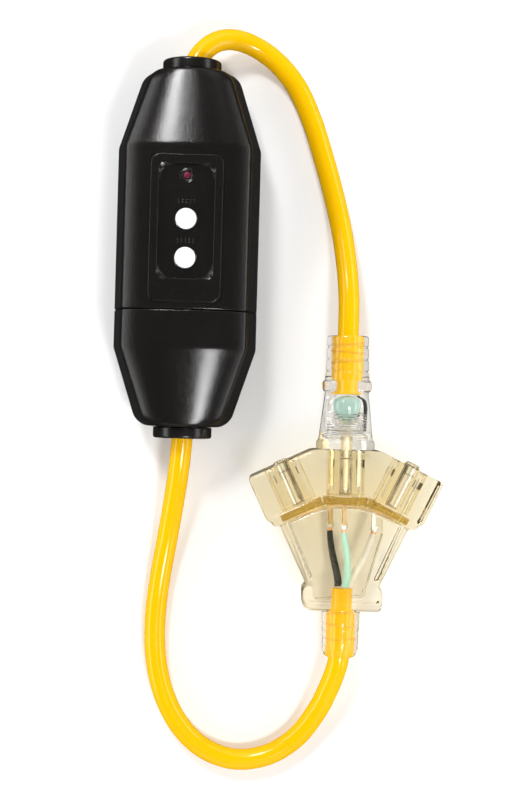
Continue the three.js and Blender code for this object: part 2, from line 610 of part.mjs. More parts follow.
// the inner moulding that holds the blades: a ribbed neck on a round base
function plugCore() {
  const profile = [[0, CORE.low], [CORE.disc, CORE.low], [CORE.disc, CORE.shoulder],
    [CORE.neck, CORE.shoulder]];
  const ribs = 4;
  const pitch = (CORE.top - CORE.shoulder) / ribs;
  for (let rib = 0; rib < ribs; rib++) {
    const y = CORE.shoulder + rib * pitch;
    profile.push([CORE.neck - 0.9, y + 0.3 * pitch], [CORE.neck - 0.1, y + 0.75 * pitch]);
  }
  profile.push([CORE.neck - 0.6, CORE.top], [0, CORE.top]);
  const grooves = [-1, 1].map((side) => rodY(PLUG_WIRE.radius + GAP, CORE.shoulder + 0.6, CORE.top + 1,
    AXIS_X + side * PLUG_WIRE.x, PLUG_WIRE.z, 12));
  const rooms = plugRooms(CORE.shoulder - 0.9, CORE.low - 1, GAP);
  return cut(turnedY(profile, AXIS_X, AXIS_Z, 16), [...grooves, ...rooms]);
}

function blade({ x, width }) {
  const tip = FACE_Y - BLADE_LENGTH;
  const body = bladeRoom({ x, width }, CORE.shoulder - 1.2, tip, 0);
  const hole = rodX(1.6, AXIS_X - 15, AXIS_X + 15, tip + 4.5, SLOT_Z, 12);
  return cut(body, [hole]);
}

function groundPin() {
  const tip = FACE_Y - GROUND_PIN_LENGTH;
  return turnedY([[0, tip], [1, tip + 0.2], [GROUND_PIN_RADIUS, tip + 2.2],
    [GROUND_PIN_RADIUS, CORE.shoulder - 1.2],
    [0, CORE.shoulder - 1.2]], AXIS_X, GROUND_Z, 16);
}

add("plug_body", plugBody(), CLEAR_VINYL);
add("plug_core", plugCore(), CLEAR_VINYL);
SLOTS.forEach((slot) => add(`plug_${slot.name}_blade`, blade(slot), slot.name === "hot" ? BRASS : NICKEL));
add("plug_ground_pin", groundPin(), BRASS);

// the lamp that glows when the line is live: a domed capsule ahead of the core
const lamp = new THREE.SphereGeometry(1, 18, 12);
lamp.scale(PLUG_LAMP.halfWidth, PLUG_LAMP.halfLength, PLUG_LAMP.halfHeight);
add("plug_lamp", moved(lamp, AXIS_X, PLUG_LAMP.y, PLUG_LAMP.z), LAMP);
[["black", 1, BLACK_WIRE], ["white", -1, WHITE_WIRE]].forEach(([name, side, material]) => {
  const { radius, x, z } = PLUG_WIRE;
  const at = (share, y) => [AXIS_X + side * share * x, y, z];
  const run = [at(0.75, PLUG_JACKET_Y - 0.8), at(0.88, -70), at(1, -73), at(1, -78), at(1,
    CORE.shoulder + 0.9)];
  add(`plug_${name}_wire`, tube(run, radius, 8), material);
});

// ---- connector --------------------------------------------------------------------------------------

const FAN_CENTRE = [AXIS_X, FACE_Y - FAN_RADIUS];
const OUTLETS = [
  { name: "left", angle: -FAN_STEP },
  { name: "middle", angle: 0 },
  { name: "right", angle: FAN_STEP },
];

const polar = (radius, angle) =>
  [FAN_CENTRE[0] + radius * Math.sin(angle), FAN_CENTRE[1] + radius * Math.cos(angle)];

// turns a solid made on the middle outlet's axis to another outlet's place
function turnedToOutlet(body, angle) {
  const degrees = -THREE.MathUtils.radToDeg(angle);
  const [x, y] = FAN_CENTRE;
  return body.translate([-x, -y, 0]).rotate([0, 0, degrees]).translate([x, y, 0]);
}

// a point in the frame of one outlet: across its face and along its axis from the fan's centre
function outletPoint(angle, across, along) {
  const [x, y] = polar(along, angle);
  return [x + across * Math.cos(angle), y - across * Math.sin(angle)];
}

const HEAD_HALF_FACE = 17.2;
const HEAD_CORNER = 2;

function headBlock() {
  const corner = FAN_RADIUS / Math.cos(FAN_STEP / 2);
  const inner = FAN_RADIUS - HEAD_DEPTH;
  const right = [polar(corner, FAN_STEP / 2), outletPoint(FAN_STEP, HEAD_HALF_FACE - HEAD_CORNER,
    FAN_RADIUS),
    outletPoint(FAN_STEP, HEAD_HALF_FACE - 0.6, FAN_RADIUS - 0.6),
    outletPoint(FAN_STEP, HEAD_HALF_FACE, FAN_RADIUS - HEAD_CORNER),
    outletPoint(FAN_STEP, HEAD_HALF_FACE, inner + HEAD_CORNER),
    outletPoint(FAN_STEP, HEAD_HALF_FACE - HEAD_CORNER, inner)];
  const arc = [1, 0.6, 0.3, 0].map((share) => polar(inner, FAN_STEP * share));
  const half = [...right, ...arc];
  const mirrored = half.slice(0, -1).reverse().map(([x, y]) => [2 * AXIS_X - x, y]);
  return raised(outline([...half, ...mirrored].reverse()), 0, HEAD_TOP_Z);
}

function wedgeBlock() {
  const { low: bottom, high: top, top: [wide, wideY], foot: [narrow, narrowY] } = WEDGE;
  const points = [[-22, -112], [-wide - 3, wideY + 6.4], [-wide, wideY], [-narrow, narrowY],
    [-narrow, FOOT_Y - 2],
    [narrow, FOOT_Y - 2], [narrow, narrowY], [wide, wideY], [wide + 3, wideY + 6.4], [22, -112]];
  return raised(outline(points.map(([x, y]) => [AXIS_X + x, y])), bottom, top);
}

const footBlock = () =>
  raised(roundedRectangle(AXIS_X - 19, FOOT_Y - 12.2, AXIS_X + 19, FOOT_Y, 4), AXIS_Z - 12.5,
  AXIS_Z + 12.5);

function tailBlock() {
  const rings = [[9, FOOT_Y - 8], [9, -176.6], [8.7, -177.2], [8.95, -177.8], [8.9, -182.6], [8.6, -183.2],
    [8.85, -183.8], [8.7, -189.6], [7.6, -192.2], [6.2, TAIL_Y]];
  return turnedY([[0, FOOT_Y - 8], ...rings, [0, TAIL_Y]], AXIS_X, AXIS_Z, 20);
}

const insertBlock = (extra) => {
  const { halfWidth, low: bottom, high: top, depth } = INSERT;
  return box([AXIS_X - halfWidth - extra, FACE_Y - depth - extra, bottom - extra],
    [AXIS_X + halfWidth + extra, FACE_Y + (extra ? 5 : 0), top + extra]);
};

// the strips that join the three outlets lie in a curved channel behind the inserts
const CHANNEL = { inner: 45.2, outer: FAN_RADIUS - INSERT.depth + 0.2,
  reach: THREE.MathUtils.degToRad(31) };
const STRIPS = [
  { name: "hot", low: 7, high: 12, tailX: -6.2, tailY: -129.4, material: BRASS },
  { name: "neutral", low: 14, high: 19, tailX: 14.4, tailY: -131.1, material: NICKEL },
  { name: "ground", low: 21, high: 26, tailX: 0, tailY: -129.4, material: BRASS },
];
// the flat tail that each strip sends down to its conductor
const stripTail = ({ low: bottom, high: top, tailX, tailY }, extra) =>
  box([AXIS_X + tailX - 0.6 - extra, tailY - extra, bottom - extra],
    [AXIS_X + tailX + 0.6 + extra, FAN_CENTRE[1] + CHANNEL.inner + 1.2, top + extra]);

function curvedBand(innerRadius, outerRadius, reach, bottom, top, steps = 12) {
  const outerArc = [];
  const innerArc = [];
  for (let i = 0; i <= steps; i++) {
    const angle = reach * (1 - (2 * i) / steps);
    outerArc.push(polar(outerRadius, angle));
    innerArc.unshift(polar(innerRadius, angle));
  }
  return raised(outline([...outerArc, ...innerArc]), bottom, top);
}

// conductors from the jacket's end to the strips, as centreline points
const CONNECTOR_WIRES = [
  { name: "black", material: BLACK_WIRE,
    run: [[-1.6, -158.9, 14.6], [-2.2, -154, 13.4], [-4.6, -144, 11], [-6, -136, 10],
    [-6.2, -129.9, 9.6]] },
  { name: "green", material: GREEN_WIRE,
    run: [[1.4, -158.9, 19.2], [2.2, -154, 20.5], [1.8, -144, 22.4], [0.4, -136, 23.4],
    [0, -129.9, 23.5]] },
  { name: "white", material: WHITE_WIRE,
    run: [[2.6, -158.9, 14.4], [5.4, -154, 14.6], [10.4, -144, 16], [13.4, -136, 16.4],
    [14.4, -131.6, 16.5]] },
].map((wire) => ({ ...wire, run: wire.run.map(([x, y, z]) => [AXIS_X + x, y, z]) }));

// the room round one conductor: its own tube with clearance, and rounded ends
function wireRoom(run) {
  const radius = WIRE_RADIUS + GAP;
  const ball = (point) => moved(new THREE.SphereGeometry(radius + 0.2, 8, 6), ...point);
  const ends = [ball(run[0]), ball(run[run.length - 1])];
  return union([solid(tube(run, radius, 10)), ...ends]);
}

function connectorBody() {
  const body = union([headBlock(), wedgeBlock(), footBlock(), tailBlock()]);
  const pockets = OUTLETS.map(({ angle }) => turnedToOutlet(insertBlock(GAP), angle));
  const channel = curvedBand(CHANNEL.inner - GAP, CHANNEL.outer, CHANNEL.reach + 0.02, STRIPS[0].low - GAP,
    STRIPS[2].high + GAP);
  const snug = CORD_RADIUS + GAP;
  const bore = turnedY([[0, TAIL_Y - 2], [snug + 1.4, TAIL_Y - 2], [snug + 0.9, TAIL_Y],
    [snug, TAIL_Y + 3.5],
    [snug, CONNECTOR_JACKET_Y + 1.8], [0, CONNECTOR_JACKET_Y + 1.8]], AXIS_X, AXIS_Z, 16);
  const tunnels = CONNECTOR_WIRES.map(({ run }) => wireRoom(run));
  const tails = STRIPS.map((strip) => stripTail(strip, GAP));
  return cut(body, [...pockets, channel, bore, ...tunnels, ...tails]);
}
add("connector_body", connectorBody(), AMBER_VINYL);

// one outlet: a block with two slots and a round earth hole, open at its face
function outletInsert() {
  const rooms = SLOTS.map((slot) =>
    bladeRoom({ ...slot, width: slot.width + 0.6 }, FACE_Y + 1, FACE_Y - BLADE_LENGTH - 1.5, GAP));
  return cut(insertBlock(0), [...rooms, groundRoom(FACE_Y + 1, FACE_Y - GROUND_PIN_LENGTH - 0.4, GAP)]);
}
OUTLETS.forEach(({ name, angle }) =>
  add(`outlet_insert_${name}`, turnedToOutlet(outletInsert(), angle), AMBER_INSERT));

STRIPS.forEach((strip) => {
  const band = curvedBand(CHANNEL.inner + 0.4, CHANNEL.inner + 1.6, CHANNEL.reach, strip.low, strip.high);
  add(`${strip.name}_strip`, band.add(stripTail(strip, 0)), strip.material);
});
CONNECTOR_WIRES.forEach(({ name, material, run }) => {
  add(`connector_${name}_wire`, tube(run, WIRE_RADIUS, 10), material);
});

export default assembly;
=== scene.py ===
# An in-line ground-fault tester on a short lead: black module, yellow lead, clear plug and amber connector.
import json
from math import copysign, cos, pi, radians, sin, sqrt, tan, tau

import bmesh
import bpy
from mathutils import Matrix, Vector


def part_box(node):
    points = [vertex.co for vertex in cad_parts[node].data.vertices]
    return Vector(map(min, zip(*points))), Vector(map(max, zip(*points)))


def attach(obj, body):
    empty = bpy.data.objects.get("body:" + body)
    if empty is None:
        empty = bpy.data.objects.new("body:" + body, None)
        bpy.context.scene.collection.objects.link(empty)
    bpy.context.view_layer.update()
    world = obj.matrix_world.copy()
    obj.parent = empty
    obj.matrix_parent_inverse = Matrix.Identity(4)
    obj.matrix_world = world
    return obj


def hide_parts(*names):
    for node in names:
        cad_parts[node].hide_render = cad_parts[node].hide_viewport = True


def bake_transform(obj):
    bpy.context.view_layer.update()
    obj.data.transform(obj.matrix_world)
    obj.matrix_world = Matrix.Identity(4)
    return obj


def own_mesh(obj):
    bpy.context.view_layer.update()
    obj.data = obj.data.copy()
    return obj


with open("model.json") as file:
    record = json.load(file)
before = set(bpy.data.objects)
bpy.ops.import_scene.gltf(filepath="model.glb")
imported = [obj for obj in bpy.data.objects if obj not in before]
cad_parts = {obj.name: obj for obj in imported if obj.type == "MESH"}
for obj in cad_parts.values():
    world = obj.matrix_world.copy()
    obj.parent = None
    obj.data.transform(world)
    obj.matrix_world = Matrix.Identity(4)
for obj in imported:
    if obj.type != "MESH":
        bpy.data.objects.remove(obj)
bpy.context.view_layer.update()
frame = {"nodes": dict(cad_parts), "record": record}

MM = 0.001
SCENE = bpy.context.scene


def centre(node):
    low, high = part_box(node)
    return (Vector(low) + Vector(high)) / 2


def corners(node):
    """A CAD node's low and high corners, in millimetres."""
    return [Vector(corner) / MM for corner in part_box(node)]


# ---- places and sizes, in millimetres ----

MODULE_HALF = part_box("front_cover")[1][1] / MM
MODULE_HALF_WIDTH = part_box("front_cover")[1][0] / MM
COLLAR_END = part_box("line_grommet")[1][1] / MM
COLLAR_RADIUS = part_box("line_grommet")[1][0] / MM
SPLIT_Z = centre("line_grommet").z / MM
SEAM_Y = (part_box("front_cover")[0][1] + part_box("end_cover_front")[1][1]) / 2 / MM
TEST_Y = centre("test_button").y / MM
RESET_Y = centre("reset_button").y / MM
LENS_Y = centre("indicator_lens").y / MM
AXIS_X = centre("plug_body").x / MM
AXIS_Z = centre("plug_body").z / MM
FACE_GAP = 0.3
FACE_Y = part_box("plug_body")[0][1] / MM - FACE_GAP
PLUG_TOP_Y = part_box("plug_body")[1][1] / MM
TAIL_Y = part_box("connector_body")[0][1] / MM
HEAD_TOP_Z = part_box("connector_body")[1][2] / MM

MODULE_TOP_Z = 44.0
WAIST_Y = 47.5
END_HALF_WIDTH = 22.0
END_TOP_Z = 37.0
END_BOTTOM_Z = 3.0
END_ROUND = 6.0
EDGE_ROUND = 1.7
WALL = 2.6
CORD_RADIUS = 5.0
PLUG_JACKET_Y = -67.0
CONNECTOR_JACKET_Y = -160.3
FOOT_Y = -158.4
FAN_RADIUS = 71.5
FAN_STEP = radians(25.5)
HEAD_DEPTH = 23.5
SLOT_X = 6.35
SLOT_Z = AXIS_Z - 4.4
GROUND_Z = SLOT_Z + 11.9
FAN_CENTRE = Vector((AXIS_X, FACE_Y - FAN_RADIUS))

LYING_Z = 5.25
UPPER_ROUTE = [
    (0, 72, 20), (0, 78, 20), (0.2, 84, 20), (2.3, 91.4, 19.4), (7, 97.6, 17.8), (13, 101.6, 15.2),
    (20.5, 102.8, 11.9), (29.5, 100.6, 8.6), (40, 94.2, 6.2), (50.4, 82.6, LYING_Z),
    (58.2, 66.6, LYING_Z), (64.6, 48, LYING_Z), (69.7, 31, 5.6), (74, 13.5, 7.4),
    (77, -5, 11.2), (78.3, -21, 14.9), (AXIS_X, -31, 16.2), (AXIS_X, PLUG_TOP_Y, AXIS_Z),
    (AXIS_X, -53, AXIS_Z), (AXIS_X, PLUG_JACKET_Y, AXIS_Z),
]
LOWER_ROUTE = [
    (0, -72, 20), (0, -80, 20), (0, -90, 19.9), (-1.1, -104, 17.6), (-3.6, -122, 12), (-6.6, -141, 7.2),
    (-9.6, -160, LYING_Z), (-11.3, -180, LYING_Z), (-10.4, -198, LYING_Z),
    (-6.2, -215, LYING_Z), (1.8, -230, LYING_Z), (13.6, -241, LYING_Z),
    (29, -246.2, LYING_Z), (45, -243.8, LYING_Z), (58.4, -235.2, 5.7), (68.4, -221.4, 8.4),
    (74.6, -207, 12.8), (77.6, -196.5, 15.8), (AXIS_X, -188, AXIS_Z), (AXIS_X, -176, AXIS_Z),
    (AXIS_X, CONNECTOR_JACKET_Y, AXIS_Z),
]


# ---- mesh making ----

def in_scene(name, data):
    obj = bpy.data.objects.new(name, data)
    SCENE.collection.objects.link(obj)
    return obj


def make_object(name, points, faces):
    mesh = bpy.data.meshes.new(name)
    mesh.from_pydata([Vector(point) * MM for point in points], [], faces)
    mesh.validate()
    work = bmesh.new()
    work.from_mesh(mesh)
    bmesh.ops.recalc_face_normals(work, faces=work.faces)
    work.to_mesh(mesh)
    work.free()
    return in_scene(name, mesh)


def skin(name, rings, looped=False):
    """A closed surface over rings of equally many points: capped at both ends, or looped back on itself."""
    count = len(rings[0])
    points = [point for ring in rings for point in ring]
    faces = []
    for ring in range(len(rings) if looped else len(rings) - 1):
        here, there = ring * count, (ring + 1) % len(rings) * count
        for i in range(count):
            j = (i + 1) % count
            faces.append((here + i, here + j, there + j, there + i))
    if not looped:
        for ring in (0, len(rings) - 1):
            middle = sum((Vector(point) for point in rings[ring]), Vector()) / count
            points.append(middle)
            start = ring * count
            faces += [(start + i, start + (i + 1) % count, len(points) - 1) for i in range(count)]
    return make_object(name, points, faces)


TINY = 1e-6
LEAST_RADIUS = 1e-3
MOST_OF_A_SIDE = 0.49


def bend(start, corner, end, steps):
    """Points along a smooth turn from start to end, drawn towards the corner."""
    return [start * (1 - t) ** 2 + corner * 2 * t * (1 - t) + end * t ** 2
            for t in [step / steps for step in range(steps + 1)]]


def rounded(points, closed=True, steps=5):
    """An outline whose corners (a, b, radius) are rounded off."""
    result = []
    for index, corner in enumerate(points):
        here = Vector(corner[:2])
        radius = corner[2] if len(corner) > 2 else 0
        ends = index in (0, len(points) - 1) and not closed
        if radius <= 0 or ends:
            result.append(here)
            continue
        before = Vector(points[index - 1][:2]) - here
        after = Vector(points[(index + 1) % len(points)][:2]) - here
        half = before.angle(after) / 2
        reach = min(radius / max(tan(half), TINY), MOST_OF_A_SIDE * before.length,
                    MOST_OF_A_SIDE * after.length)
        result += bend(here + before.normalized() * reach, here, here + after.normalized() * reach, steps)
    return result


def round_steps(sides, power=2.0):
    """Points round a unit circle, squared up where power is above 2."""
    angles = [2 * pi * i / sides for i in range(sides)]
    return [[copysign(abs(share) ** (2 / power), share) for share in (cos(a), sin(a))]
            for a in angles]


def lathe(name, profile, place, axis="Y", sides=64, looped=False, squash=1.0, power=2.0):
    """Turns (radius, along[, rounding]) about an axis; squash and power flatten and square the section."""
    rings = []
    for radius, along in rounded(profile, closed=looped):
        if radius < TINY:
            radius = LEAST_RADIUS
        ring = []
        for u, v in round_steps(sides, power):
            u, v = u * radius, v * radius * squash
            offset = {"X": (along, u, v), "Y": (u, along, v), "Z": (u, v, along)}[axis]
            ring.append(Vector(place) + Vector(offset))
        rings.append(ring)
    return skin(name, rings, looped)


SAME_HEIGHT = 1e-7


def prism(name, outline, low, high, edge=0.0, segments=3):
    """A flat outline raised from low to high, with its top and bottom edges rounded."""
    points = rounded(outline)
    count = len(points)
    faces = [tuple(range(count))[::-1], tuple(range(count, 2 * count))]
    faces += [(i, (i + 1) % count, (i + 1) % count + count, i + count) for i in range(count)]
    obj = make_object(name, [(*p, z) for z in (low, high) for p in points], faces)
    if edge:
        work = bmesh.new()
        work.from_mesh(obj.data)
        flat = [e for e in work.edges if abs(e.verts[0].co.z - e.verts[1].co.z) < SAME_HEIGHT]
        bmesh.ops.bevel(work, geom=flat, offset=edge * MM, segments=segments, profile=0.5,
                        affect="EDGES", clamp_overlap=True)
        work.to_mesh(obj.data)
        work.free()
    return obj


def block(name, low, high, edge=0.3):
    """A box with every edge rounded."""
    (x0, y0, z0), (x1, y1, z1) = low, high
    outline = [(x0, y0, edge), (x1, y0, edge), (x1, y1, edge), (x0, y1, edge)]
    return prism(name, outline, z0, z1, edge, 2)


def between(p, q, a, b, t):
    """The point at t on the straight run from p at a to q at b."""
    return p * (b - t) / (b - a) + q * (t - a) / (b - a)


def route(points, step=1.5):
    """Close points along one smooth line through the given ones."""
    knots = [Vector(p) for p in points]
    knots = [2 * knots[0] - knots[1]] + knots + [2 * knots[-1] - knots[-2]]
    line = []
    for p0, p1, p2, p3 in zip(knots, knots[1:], knots[2:], knots[3:]):
        t1 = (p1 - p0).length ** 0.5
        t2 = t1 + (p2 - p1).length ** 0.5
        t3 = t2 + (p3 - p2).length ** 0.5
        pieces = max(1, round((p2 - p1).length / step))
        for i in range(pieces):
            t = t1 + (t2 - t1) * i / pieces
            a1, a2 = between(p0, p1, 0, t1, t), between(p1, p2, t1, t2, t)
            a3 = between(p2, p3, t2, t3, t)
            b1, b2 = between(a1, a2, 0, t2, t), between(a2, a3, t1, t3, t)
            line.append(between(b1, b2, t1, t2, t))
    return line + [knots[-2]]


def tube(name, line, radius, sides=32, ends=0.6):
    """A round tube along close points, with slightly rounded ends; radius may depend on the share along."""
    rings = []
    normal = Vector((0, 0, 1))
    last = len(line) - 1
    for index, point in enumerate(line):
        ahead = line[min(index + 1, last)] - line[max(index - 1, 0)]
        ahead.normalize()
        side = ahead.cross(normal).normalized()
        normal = side.cross(ahead).normalized()
        size = radius(index / last) if callable(radius) else radius

        def ring(less, shift):
            start, reach = point + ahead * shift, 1 - less / size
            return [start + (side * u + normal * v) * size * reach for u, v in round_steps(sides)]

        if 0 < index < last:
            rings.append(ring(0, 0))
            continue
        inward = ends if index == 0 else -ends
        turn = [ring(ends, 0), ring(0.3 * ends, 0.12 * inward), ring(0, 0.5 * inward)]
        rings += turn if index == 0 else turn[::-1]
    return skin(name, rings)


def apply_modifiers(obj):
    graph = bpy.context.evaluated_depsgraph_get()
    mesh = bpy.data.meshes.new_from_object(obj.evaluated_get(graph))
    mesh.validate()
    obj.modifiers.clear()
    old = obj.data
    obj.data = mesh
    bpy.data.meshes.remove(old)
    return obj


def joined(name, objects):
    work = bmesh.new()
    for obj in objects:
        work.from_mesh(obj.data)
        bpy.data.objects.remove(obj)
    mesh = bpy.data.meshes.new(name)
    work.to_mesh(mesh)
    work.free()
    return in_scene(name, mesh)


def cut(obj, tools):
    """Takes the tools' shapes out of a piece and removes the tools."""
    for tool in tools:
        modifier = obj.modifiers.new("cut", "BOOLEAN")
        modifier.operation = "DIFFERENCE"
        modifier.solver = "EXACT"
        modifier.object = tool
    apply_modifiers(obj)
    for tool in tools:
        bpy.data.objects.remove(tool)
    return obj


def moulded(name, objects, voxel, smoothing):
    """One moulding from overlapping solids, with soft inner and outer corners."""
    obj = joined(name, objects)
    remesh = obj.modifiers.new("skin", "REMESH")
    remesh.mode = "VOXEL"
    remesh.voxel_size = voxel * MM
    soften = obj.modifiers.new("soften", "SMOOTH")
    soften.factor = 0.5
    soften.iterations = smoothing
    return apply_modifiers(obj)


def no_shade(obj):
    """A small part sealed in clear plastic: it leaves no shadow on the floor."""
    obj.visible_shadow = False


def place_piece(obj, material, nodes, body="root", sharp=38):
    """Finishes a piece: shading, material, the body that it moves with and the nodes that it stands for."""
    obj.data.shade_smooth()
    if sharp:
        obj.data.set_sharp_from_angle(angle=radians(sharp))
        weighted = obj.modifiers.new("normals", "WEIGHTED_NORMAL")
        weighted.keep_sharp = True
        apply_modifiers(obj)
    obj.data.materials.clear()
    obj.data.materials.append(material)
    if body:
        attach(obj, body)
    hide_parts(*nodes)
    return obj


# ---- materials ----

NOISE_SPAN = (0.3, 0.7)


class Surface:
    """A Principled material with helpers for procedural detail in object coordinates."""

    def __init__(self, name, color, roughness, **inputs):
        self.material = bpy.data.materials.new(name)
        self.material.use_nodes = True
        self.tree = self.material.node_tree
        self.shader = self.tree.nodes["Principled BSDF"]
        self.shader.inputs["Base Color"].default_value = (*color, 1)
        self.shader.inputs["Roughness"].default_value = roughness
        for key, value in inputs.items():
            self.shader.inputs[key.replace("_", " ")].default_value = value
        self.place = self.node("ShaderNodeTexCoord").outputs["Object"]
        self.color = color

    def node(self, kind, **settings):
        """A new node; each setting is a property, an input's value, or the socket that feeds an input."""
        node = self.tree.nodes.new(kind)
        for key, value in settings.items():
            name = key.replace("_", " ")
            if name not in node.inputs:
                setattr(node, key, value)
            elif isinstance(value, bpy.types.NodeSocket):
                self.link(value, node.inputs[name])
            else:
                node.inputs[name].default_value = value
        return node

    def link(self, a, b):
        self.tree.links.new(a, b)

    def noise(self, scale, detail, stretch=None):
        source = self.place
        if stretch:
            source = self.node("ShaderNodeMapping", Scale=stretch, Vector=source).outputs["Vector"]
        return self.node("ShaderNodeTexNoise", Scale=scale, Detail=detail, Vector=source).outputs["Fac"]

    def mapped(self, value, source, target):
        """A value mapped from the source range to the target range."""
        node = self.node("ShaderNodeMapRange", From_Min=source[0], From_Max=source[1], To_Min=target[0],
                         To_Max=target[1], Value=value)
        return node.outputs["Result"]

    def vary_color(self, value, dark, light):
        """Base colour from dark to light tones of the material's own colour."""
        ramp = self.node("ShaderNodeValToRGB", Fac=value)
        for stop, position, share in zip(ramp.color_ramp.elements, NOISE_SPAN, (dark, light)):
            stop.position = position
            stop.color = (*(min(1, c * share) for c in self.color), 1)
        self.link(ramp.outputs["Color"], self.shader.inputs["Base Color"])

    def vary_roughness(self, value, low, high):
        self.link(self.mapped(value, NOISE_SPAN, (low, high)), self.shader.inputs["Roughness"])

    def bump(self, value, height, strength):
        node = self.node("ShaderNodeBump", Strength=strength, Distance=height * MM, Height=value)
        before = self.shader.inputs["Normal"].links
        if before:
            self.link(before[0].from_socket, node.inputs["Normal"])
        self.link(node.outputs["Normal"], self.shader.inputs["Normal"])

    def let_lamps_through(self, tint):
        """Lets rays from lamps and from dull surfaces pass, tinted, so that what lies behind is lit."""
        rays = self.node("ShaderNodeLightPath")
        either = self.node("ShaderNodeMath", operation="MAXIMUM")
        self.link(rays.outputs["Is Shadow Ray"], either.inputs[0])
        self.link(rays.outputs["Is Diffuse Ray"], either.inputs[1])
        passing = self.node("ShaderNodeBsdfTransparent", Color=(*tint, 1))
        mix = self.node("ShaderNodeMixShader", Fac=either.outputs["Value"])
        self.link(self.shader.outputs["BSDF"], mix.inputs[1])
        self.link(passing.outputs["BSDF"], mix.inputs[2])
        self.link(mix.outputs["Shader"], self.tree.nodes["Material Output"].inputs["Surface"])

    def absorb(self, color, density):
        volume = self.node("ShaderNodeVolumeAbsorption", Color=(*color, 1), Density=density)
        self.link(volume.outputs["Volume"], self.tree.nodes["Material Output"].inputs["Volume"])


def grained_plastic(name, color, roughness, grain, scale):
    surface = Surface(name, color, roughness, IOR=1.5)
    surface.vary_color(surface.noise(60, 4), 0.92, 1.08)
    surface.vary_roughness(surface.noise(1500, 4), roughness - 0.03, roughness + 0.04)
    surface.bump(surface.noise(scale, 2), grain, 0.8)
    return surface.material


def smooth_plastic(name, color, roughness, bump=0.01, coat=0.0):
    surface = Surface(name, color, roughness, IOR=1.5, Coat_Weight=coat)
    surface.vary_color(surface.noise(90, 3), 0.93, 1.05)
    surface.vary_roughness(surface.noise(500, 4), roughness - 0.05, roughness + 0.05)
    surface.bump(surface.noise(900, 3), bump, 0.5)
    return surface.material


def metal(name, color, roughness, metallic=0.7):
    surface = Surface(name, color, roughness, Metallic=metallic)
    lines = surface.noise(900, 3, stretch=(1, 30, 30))
    surface.vary_color(surface.noise(200, 3), 0.85, 1.08)
    surface.vary_roughness(lines, roughness - 0.08, roughness + 0.1)
    surface.bump(lines, 0.008, 0.5)
    return surface.material


def clear_plastic(name, tint, density, ior):
    surface = Surface(name, (1, 1, 1), 0.02, IOR=ior, Transmission_Weight=1.0)
    surface.bump(surface.noise(70, 2), 0.02, 0.35)
    surface.bump(surface.noise(500, 3), 0.003, 0.3)
    surface.absorb(tint, density)
    surface.let_lamps_through(tuple(0.9 + 0.06 * c for c in tint))
    return surface.material


def jacket_vinyl():
    surface = Surface("lead_jacket", (0.89, 0.487, 0.0), 0.17, IOR=1.48)
    surface.vary_color(surface.noise(25, 4), 0.95, 1.02)
    surface.vary_roughness(surface.noise(350, 4), 0.13, 0.21)
    surface.bump(surface.noise(60, 2), 0.12, 0.15)
    surface.bump(surface.noise(1400, 2), 0.01, 0.3)
    return surface.material


HOUSING = grained_plastic("housing_plastic", (0.0082, 0.0073, 0.0066), 0.17, 0.1, 1600)
COLLAR = grained_plastic("collar_rubber", (0.009, 0.0082, 0.0076), 0.22, 0.03, 1600)
BUTTON = smooth_plastic("button_plastic", (0.93, 0.93, 0.91), 0.32)
JACKET = jacket_vinyl()
# darker orange than the lead: painted shade for the dark lines where a moulding grips it
GRIP_RING_SHADE = smooth_plastic("grip_ring_painted_shade", (0.8, 0.39, 0.0), 0.3)
BLACK_WIRE = smooth_plastic("black_insulation", (0.03, 0.034, 0.03), 0.3)
WHITE_WIRE = smooth_plastic("white_insulation", (0.86, 0.84, 0.78), 0.3)
GREEN_WIRE = smooth_plastic("green_insulation", (0.42, 0.72, 0.58), 0.3)
LAMP = smooth_plastic("lamp_capsule", (0.37, 0.54, 0.45), 0.12, coat=1.0)
BRASS = metal("stamped_brass", (0.9, 0.76, 0.48), 0.38)
# a darker copy of the brass: painted shade for the strips deep in the amber head
SHADED_BRASS = metal("brass_painted_shade", (0.52, 0.36, 0.16), 0.42)
COPPER = metal("copper", (0.9, 0.5, 0.3), 0.4)
NICKEL = metal("nickel_plate", (0.78, 0.78, 0.75), 0.4)
STEEL = metal("zinc_steel", (0.62, 0.63, 0.64), 0.3, metallic=1.0)
# near black: painted shade for the dark mouths of the outlet slots
SLOT_MOUTH_SHADE = metal("slot_mouth_painted_shade", (0.1, 0.075, 0.05), 0.35, metallic=0.5)
CLEAR = clear_plastic("clear_vinyl", (0.95, 0.93, 0.9), 6, ior=1.54)
CORE_CLEAR = clear_plastic("core_clear_plastic", (0.9, 0.87, 0.8), 16, ior=1.36)
AMBER = clear_plastic("amber_vinyl", (0.855, 0.765, 0.485), 22, ior=1.38)
AMBER_CORE = clear_plastic("amber_core_plastic", (0.64, 0.58, 0.42), 22, ior=1.05)
# dense, dark amber: painted shade for the darker band along the connector head's coved back
AMBER_WALL_SHADE = clear_plastic("amber_back_wall_painted_shade", (0.79, 0.655, 0.14), 105, ior=1.1)
AMBER_INSERT = clear_plastic("amber_insert_plastic", (0.87, 0.74, 0.34), 26, ior=1.16)


# ---- camera, floor and light ----

CAMERA_PLACE = (0.0332, -0.0709, 0.78)
CAMERA_UP = (-0.0279, 0.9996, 0)
FOCAL_PIXELS = 1588
LONG_SIDE_PIXELS = 800


def make_camera():
    data = bpy.data.cameras.new("camera")
    data.sensor_fit = "AUTO"
    data.sensor_width = 36
    data.lens = FOCAL_PIXELS / LONG_SIDE_PIXELS * data.sensor_width
    data.clip_start = 0.05
    data.clip_end = 20
    camera = in_scene("camera", data)
    up = Vector(CAMERA_UP).normalized()
    back = Vector((0, 0, 1))
    right = up.cross(back)
    turn = Matrix((right, up, back)).transposed().to_4x4()
    camera.matrix_world = Matrix.Translation(CAMERA_PLACE) @ turn
    SCENE.camera = camera


FLOOR_HALF = 4000
FLOOR_Z = -0.15
WALL_RADIUS = 2600
WALL_HEIGHTS = (-10, 1300)
GLOW_FROM = (0.6, 1.8)
GLOW_TO = (0.0, 0.5)


